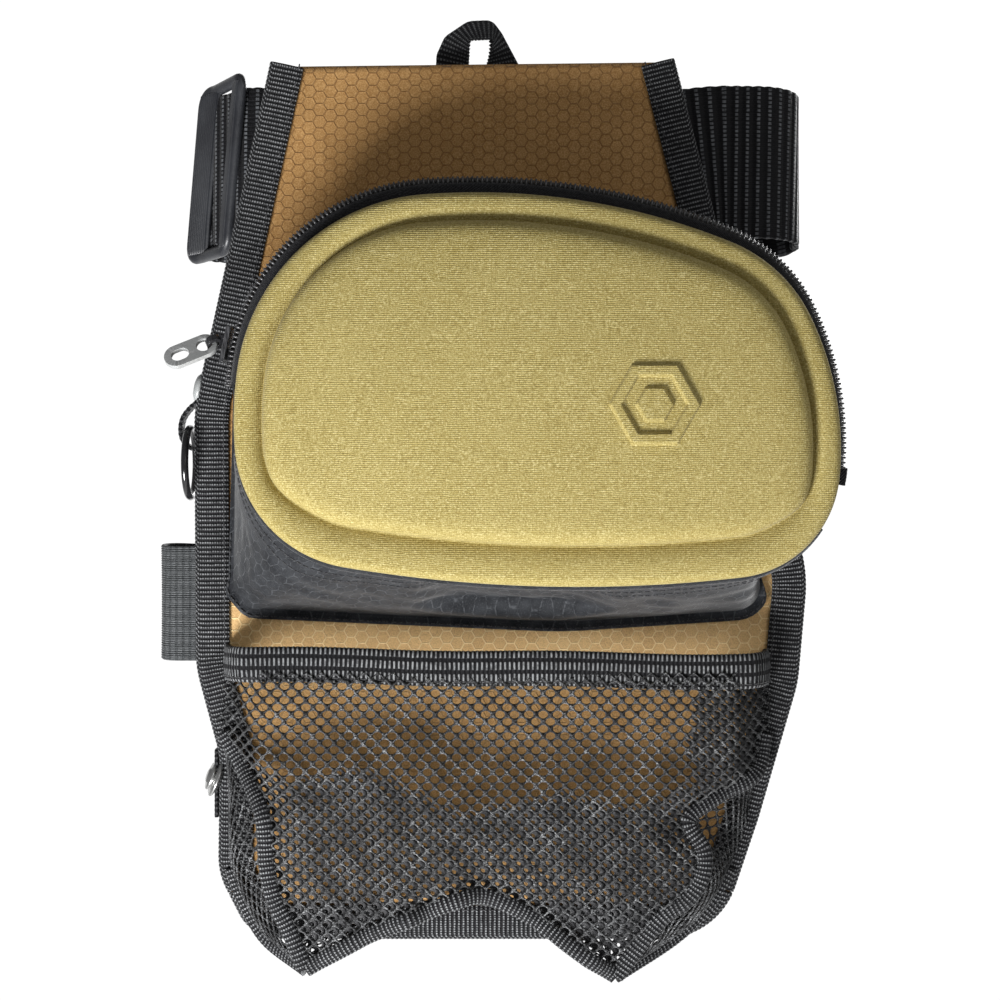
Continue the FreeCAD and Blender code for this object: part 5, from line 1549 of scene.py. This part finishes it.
def build_elastic():
    """Elastic stay strap: behind the backpad, round the left edge and back to its hook."""
    front_y, radius, z = 3.0, 6.5, -143.0
    plan = plan_path((69.5, front_y), 180, [("go", 175.0), ("turn", -180, radius), ("go", 129.5 + 1.5)], 1.4)
    ridges = 46
    half = 18.4
    xs = np.linspace(-half, half, ridges * 4 + 1)
    ripple = 0.13 * np.cos(np.arange(len(xs)) * math.pi / 2)
    front = [(x, 0.62 + r) for x, r in zip(xs, ripple)]
    rear = [(x, -0.62 - r) for x, r in zip(xs[::-1], ripple)]
    profile = front + [(half + 0.5, 0.3), (half + 0.5, -0.3)] + rear + [(-half - 0.5, -0.3), (-half - 0.5, 0.3)]
    strap = standing_band("elastic_stay_strap", plan, z, profile, droop=lambda line: 0.8 * ease(-line[:, 0], 90, 112)
                          * ease(line[:, 1], 3.0, 16.0))
    finished(strap, ELASTIC, "elastic", "pack", "elastic_strap")
    turns = np.linspace(0, 2 * math.pi, 40, endpoint=False)
    ring = np.stack([27.0 + 3.0 * np.cos(turns), 16.0 + 3.0 * np.sin(turns), np.full(40, z)], axis=1)
    out = np.stack([np.cos(turns), np.sin(turns), 0 * turns], axis=1)
    loop = band("elastic_hook_loop", ring * MM, np.tile((0.0, 0.0, 1.0), (40, 1)), out,
                np.array(tape_profile(37.0, 1.2, 0.0, 60)) * MM, closed=True)
    finished(loop, ELASTIC, "elastic", "pack")
    patch = plan_path((70.0, 1.1), 180, [("go", 28.0)], 0.9)
    cover = standing_band("elastic_anchor_patch", patch, z, tape_profile(42.0, 1.5, 0.0, 21), (1.8 * MM, 0.12 * MM))
    finished(cover, GRAB, "webbing", "pack", "elastic_anchor")
    box = [(45.0, -160.0), (45.0, -126.0), (67.0, -126.0), (67.0, -160.0)]
    for name, corners in (("anchor_box_stitching", box + box[:1]), ("anchor_cross_stitching_a", [box[0], box[2]]),
                          ("anchor_cross_stitching_b", [box[1], box[3]])):
        line = np.array([(x, front_y + 0.85, zz) for x, zz in corners]) * MM
        stitches(name, resample(line, 0.0005), 2.8, 2.0, 0.28, material=THREAD_GREY)


# ---------------------------------------------------------------- hardware
def lathe(name, profile, centre, axis, material, slot, body, *nodes, steps=56):
    """Turned part: (radius, height) points in mm about an axis through a centre in mm."""
    axis = unit(np.array(axis, dtype=float))
    side = unit(np.cross(axis, (0.0, 1.0, 0.001)))
    other = np.cross(axis, side)
    turn = np.linspace(0, 2 * math.pi, steps, endpoint=False)
    spokes = side * np.cos(turn)[:, None] + other * np.sin(turn)[:, None]
    radius = np.array([r for r, _ in profile])
    height = np.array([h for _, h in profile])
    points = np.array(centre) + axis * height[:, None, None] + spokes[None] * radius[:, None, None]
    uv = np.zeros((len(profile), steps + 1, 2))
    thing = mend(surface(name, points * MM, uv, wrap_columns=True))
    return finished(thing, material, slot, body, *nodes)


def build_snaps():
    tilt = math.radians(11)
    cap = [(0.01, 2.75), (1.6, 2.7), (3.2, 2.45), (4.1, 2.05), (4.7, 1.45), (4.95, 0.8), (4.9, 0.2), (4.4, 0.0),
           (3.9, 0.15), (3.7, -0.6), (0.01, -0.6)]
    lathe("upper_snap_cap", cap, (-97.1, -3.0, -72.6), (-math.cos(tilt), 0, math.sin(tilt)), CAP, "snap_cap",
          "pack", "upper_snap")
    tilt = math.radians(20)
    stack = [(0.01, 3.9), (1.7, 3.85), (2.3, 3.6), (2.6, 3.2), (4.2, 3.1), (4.6, 2.8), (4.6, 2.4), (4.2, 2.15),
             (3.0, 2.05), (2.8, 1.7), (5.6, 1.55), (6.3, 1.2), (6.4, 0.8), (6.1, 0.4), (5.2, 0.2), (4.6, -0.5),
             (0.01, -0.5)]
    lathe("lower_snap_stack", stack, (-91.9, -3.6, -199.6), (-math.cos(tilt), -0.25, math.sin(tilt)), NICKEL,
          "nickel", "pack", "lower_snap")
    line = np.array([(-92.2, -3.0, z) for z in np.linspace(-190.0, -212.0, 60)])
    tab = band("lower_snap_tab", line * MM, np.tile((0.0, 1.0, 0.0), (60, 1)), np.tile((-1.0, 0.0, 0.0), (60, 1)),
               np.array(tape_profile(7.0, 1.0, 0.1, 9)) * MM, ribs=(BINDING_RIB * MM, 0.12 * MM))
    finished(tab, GRAB, "webbing", "pack", "lower_tab")


def build_ring_tab():
    line = smooth_line([(-98.6, -77.0), (-101.0, -79.0), (-103.3, -82.2), (-104.0, -86.0), (-103.3, -89.4),
                        (-101.0, -91.8), (-98.6, -92.6)], 0.36)
    out = side_normals(line, closed=False)
    if np.sum(out * (line - np.array([-98.0, -85.0]))) < 0:
        out = -out
    y = np.full(len(line), -3.0)
    path = np.stack([line[:, 0], y, line[:, 1]], axis=1)
    normal = np.stack([out[:, 0], 0 * y, out[:, 1]], axis=1)
    tab = band("ring_tab_loop", path * MM, np.tile((0.0, 1.0, 0.0), (len(line), 1)), normal,
               np.array(tape_profile(6.6, 1.1, 0.1, 9)) * MM, ribs=(BINDING_RIB * MM, 0.14 * MM))
    finished(tab, GRAB, "webbing", "pack", "ring_tab")


def build_zip_end():
    """Folded tape tab that closes the zip's right end."""
    line, outward = zip_line(1.0, 0.4, low_right=-104.5)
    keep = (line[:, 0] > 60) & (line[:, 1] < -98.6)
    line = line[keep]
    out = outward[keep]
    profile = [(-2.4, -1.7), (1.6, -1.7), (2.1, -1.1), (2.1, 1.1), (1.6, 1.7), (-2.4, 1.7)]
    tab = band("zip_end_fold", raised(line, ZIP_Y + 0.9), raised(out, 0.0) / MM,
               np.tile((0.0, 1.0, 0.0), (len(line), 1)), np.array(profile) * MM, ribs=(1.1 * MM, 0.12 * MM))
    finished(tab, TWILL, "zip_tape", "pack", "zip_end_tab")


GLIDE_SKEW = -0.24           # the frame sits askew on the webbing: its top nearer the pack


def build_tri_glide():
    """Ladder-lock frame round the slanted stretch: a wide ribbed bar, a plain bar and two rails."""
    origin = np.array([BELT_LEFT_X - CORNER_RADIUS * math.cos(SLANT), BELT_FRONT_Y + CORNER_RADIUS / 2, 2.5])
    way = np.array([-math.sin(SLANT), math.cos(SLANT), 0.0])
    out = np.array([-math.cos(SLANT), -math.sin(SLANT), 0.0])
    up = np.array([0.0, 0.0, 1.0]) + way * GLIDE_SKEW
    long = slant_length()

    def placed(points):
        points = np.asarray(points)
        return (origin + points[:, :1] * way + points[:, 1:2] * out + points[:, 2:] * up) * MM

    half = 29.0
    ring = rounded([((-0.6, -half + 1.6), 4.0), ((-0.6, half - 1.6), 4.0), ((long + 0.4, half - 1.6), 5.0),
                    ((long + 0.4, -half + 1.6), 5.0)], 0.8)
    sway = 1.7 + 1.1 * ease(ring[:, 0], long - 8.0, long)
    line = np.stack([ring[:, 0], sway, ring[:, 1]], axis=1)
    outward = side_normals(ring)
    if np.sum(outward * (ring - ring.mean(axis=0))) < 0:
        outward = -outward
    across = outward[:, :1] * way + outward[:, 1:] * up
    oval = [(2.1 * math.cos(a), 1.8 * math.sin(a)) for a in np.linspace(0, 2 * math.pi, 16, endpoint=False)]
    frame_ring = band("tri_glide_rail", placed(line), across, np.tile(out, (len(ring), 1)), np.array(oval) * MM,
                      closed=True)
    finished(frame_ring, ACETAL, "acetal", "pack", "belt_tri_glide")
    bar_start = long - 12.5
    section = [(bar_start, 1.35), (bar_start - 0.5, 2.2), (bar_start, 3.0)]
    for rib in range(9):
        a = bar_start + 0.7 + rib * 1.25
        section += [(a, 3.05 + 0.18 * rib), (a + 0.3, 3.6 + 0.18 * rib), (a + 0.8, 3.6 + 0.18 * rib), (a + 1.05, 3.05 + 0.18 * rib)]
    section += [(long + 0.6, 3.9), (long + 1.2, 2.6), (long + 0.6, 1.35)]
    for name, outline in (("tri_glide_ribbed_bar", section),
                          ("tri_glide_plain_bar", [(-1.2, 1.35), (-1.6, 2.4), (-0.8, 3.9), (2.6, 3.9), (3.6, 2.6), (3.0, 1.35)])):
        rows = []
        for z in np.linspace(-half + 2.4, half - 2.4, 40):
            rows.append(placed(np.array([(a, n - 0.4 * (abs(z) / half) ** 4, z) for a, n in outline])))
        points = np.array(rows)
        uv = np.zeros((points.shape[0], points.shape[1] + 1, 2))
        bar = mend(surface(name, points, uv, wrap_columns=True), caps=True)
        bevelled(bar, 0.18)
        finished(bar, ACETAL, "acetal", "pack")


def paint_hardware():
    """Hard parts whose CAD shape is right: rounded edges and their own materials."""
    for node, material, width in (("zip_slider", SLIDER, 0.28), ("pull_tab", SILVER, 0.22),
                                  ("side_ring", RING_BLACK, 0.0), ("buckle_female", ACETAL, 0.7),
                                  ("buckle_male", ACETAL, 0.6), ("elastic_hook", ACETAL, 0.7)):
        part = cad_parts[node]
        part.data.materials.clear()
        part.data.materials.append(material)
        if width:
            bevelled(part, width)
        else:
            part.data.polygons.foreach_set("use_smooth", [True] * len(part.data.polygons))


# ---------------------------------------------------------------- studio
CAMERA_DISTANCE = 0.606
CAMERA_HEIGHT = -0.1089
CAMERA_LENS = 66.46
FLOOR_Z = -0.80              # well below the pack, which hangs clear of it
FLOOR_HALF = 1.4
SKY_DIM = 0.16
SKY_WHITE = 1.05


def area_light(name, place, target, size, power, tint=(1.0, 1.0, 1.0)):
    light = bpy.data.lights.new(name, "AREA")
    light.shape = "DISK"
    light.size = size
    light.energy = power
    light.color = tint
    lamp = bpy.data.objects.new(name, light)
    bpy.context.scene.collection.objects.link(lamp)
    lamp.location = place
    lamp.rotation_euler = (Vector(target) - Vector(place)).to_track_quat("-Z", "Y").to_euler()


def light_sky(world):
    """Dim all-round light, with a white wall of light far behind the pack."""
    tree = world.node_tree
    background = tree.nodes["Background"]
    place = tree.nodes.new("ShaderNodeTexCoord")
    split = tree.nodes.new("ShaderNodeSeparateXYZ")
    step = tree.nodes.new("ShaderNodeMapRange")
    step.interpolation_type = "SMOOTHSTEP"
    for key, value in (("From Min", 0.55), ("From Max", 0.88), ("To Min", SKY_DIM), ("To Max", SKY_WHITE)):
        step.inputs[key].default_value = value
    tree.links.new(place.outputs["Generated"], split.inputs[0])
    tree.links.new(split.outputs["Y"], step.inputs["Value"])
    tree.links.new(step.outputs[0], background.inputs["Strength"])
    background.inputs["Color"].default_value = (1.0, 1.0, 1.0, 1.0)


def build_studio():
    camera = bpy.data.objects.new("camera", bpy.data.cameras.new("camera"))
    bpy.context.scene.collection.objects.link(camera)
    camera.location = (0.0, -CAMERA_DISTANCE, CAMERA_HEIGHT)
    camera.rotation_euler = (math.pi / 2, 0.0, 0.0)
    camera.data.lens = CAMERA_LENS
    camera.data.sensor_width = 36.0
    camera.data.clip_start = 0.01
    camera.data.clip_end = 50.0
    bpy.context.scene.camera = camera
    world = bpy.data.worlds.new("studio")
    world.use_nodes = True
    light_sky(world)
    bpy.context.scene.world = world
    middle = (0.0, -0.02, CAMERA_HEIGHT)
    area_light("key", (-0.31, -0.47, -0.56), middle, 0.27, 8.4)
    area_light("fill", (0.60, -0.9, 0.10), middle, 0.6, 1.6)
    area_light("rear", (0.45, 0.90, 0.25), middle, 0.7, 9.0)
    corners = [(x * FLOOR_HALF, y * FLOOR_HALF, FLOOR_Z) for x, y in ((-1, -1), (1, -1), (1, 1), (-1, 1))]
    floor = mesh_object("studio_floor", corners, [[0, 1, 2, 3]])
    floor.data.materials.append(floor_paint())
    scene = bpy.context.scene
    scene.view_settings.view_transform = "Standard"
    scene.view_settings.look = "None"


# the fifth argument of corded is the colour of the painted glints on the rib crests
GROSGRAIN_NARROW = corded("grosgrain_narrow", 1.45, 0.85, INK, (0.36, 0.37, 0.38), 0.74, line=(0.55, 0.88))
GROSGRAIN_WIDE = corded("grosgrain_wide", 1.45, 3.7, INK, (0.38, 0.39, 0.40), 0.78, line=(0.50, 0.88))
GRAB = corded("grab_webbing", 1.8, 0.9, INK, (0.20, 0.205, 0.21), 0.6)
EDGE_FOLD = thread("lid_edge_fold", (0.46, 0.39, 0.16), (0.74, 0.68, 0.42))

build_backpad()
build_bindings()
build_grab_loop()
build_case()
build_lid()
build_zip()
build_zip_end()
build_pocket()
build_belt()
build_sleeve()
build_elastic()
build_tri_glide()
build_snaps()
build_ring_tab()
paint_hardware()
build_studio()
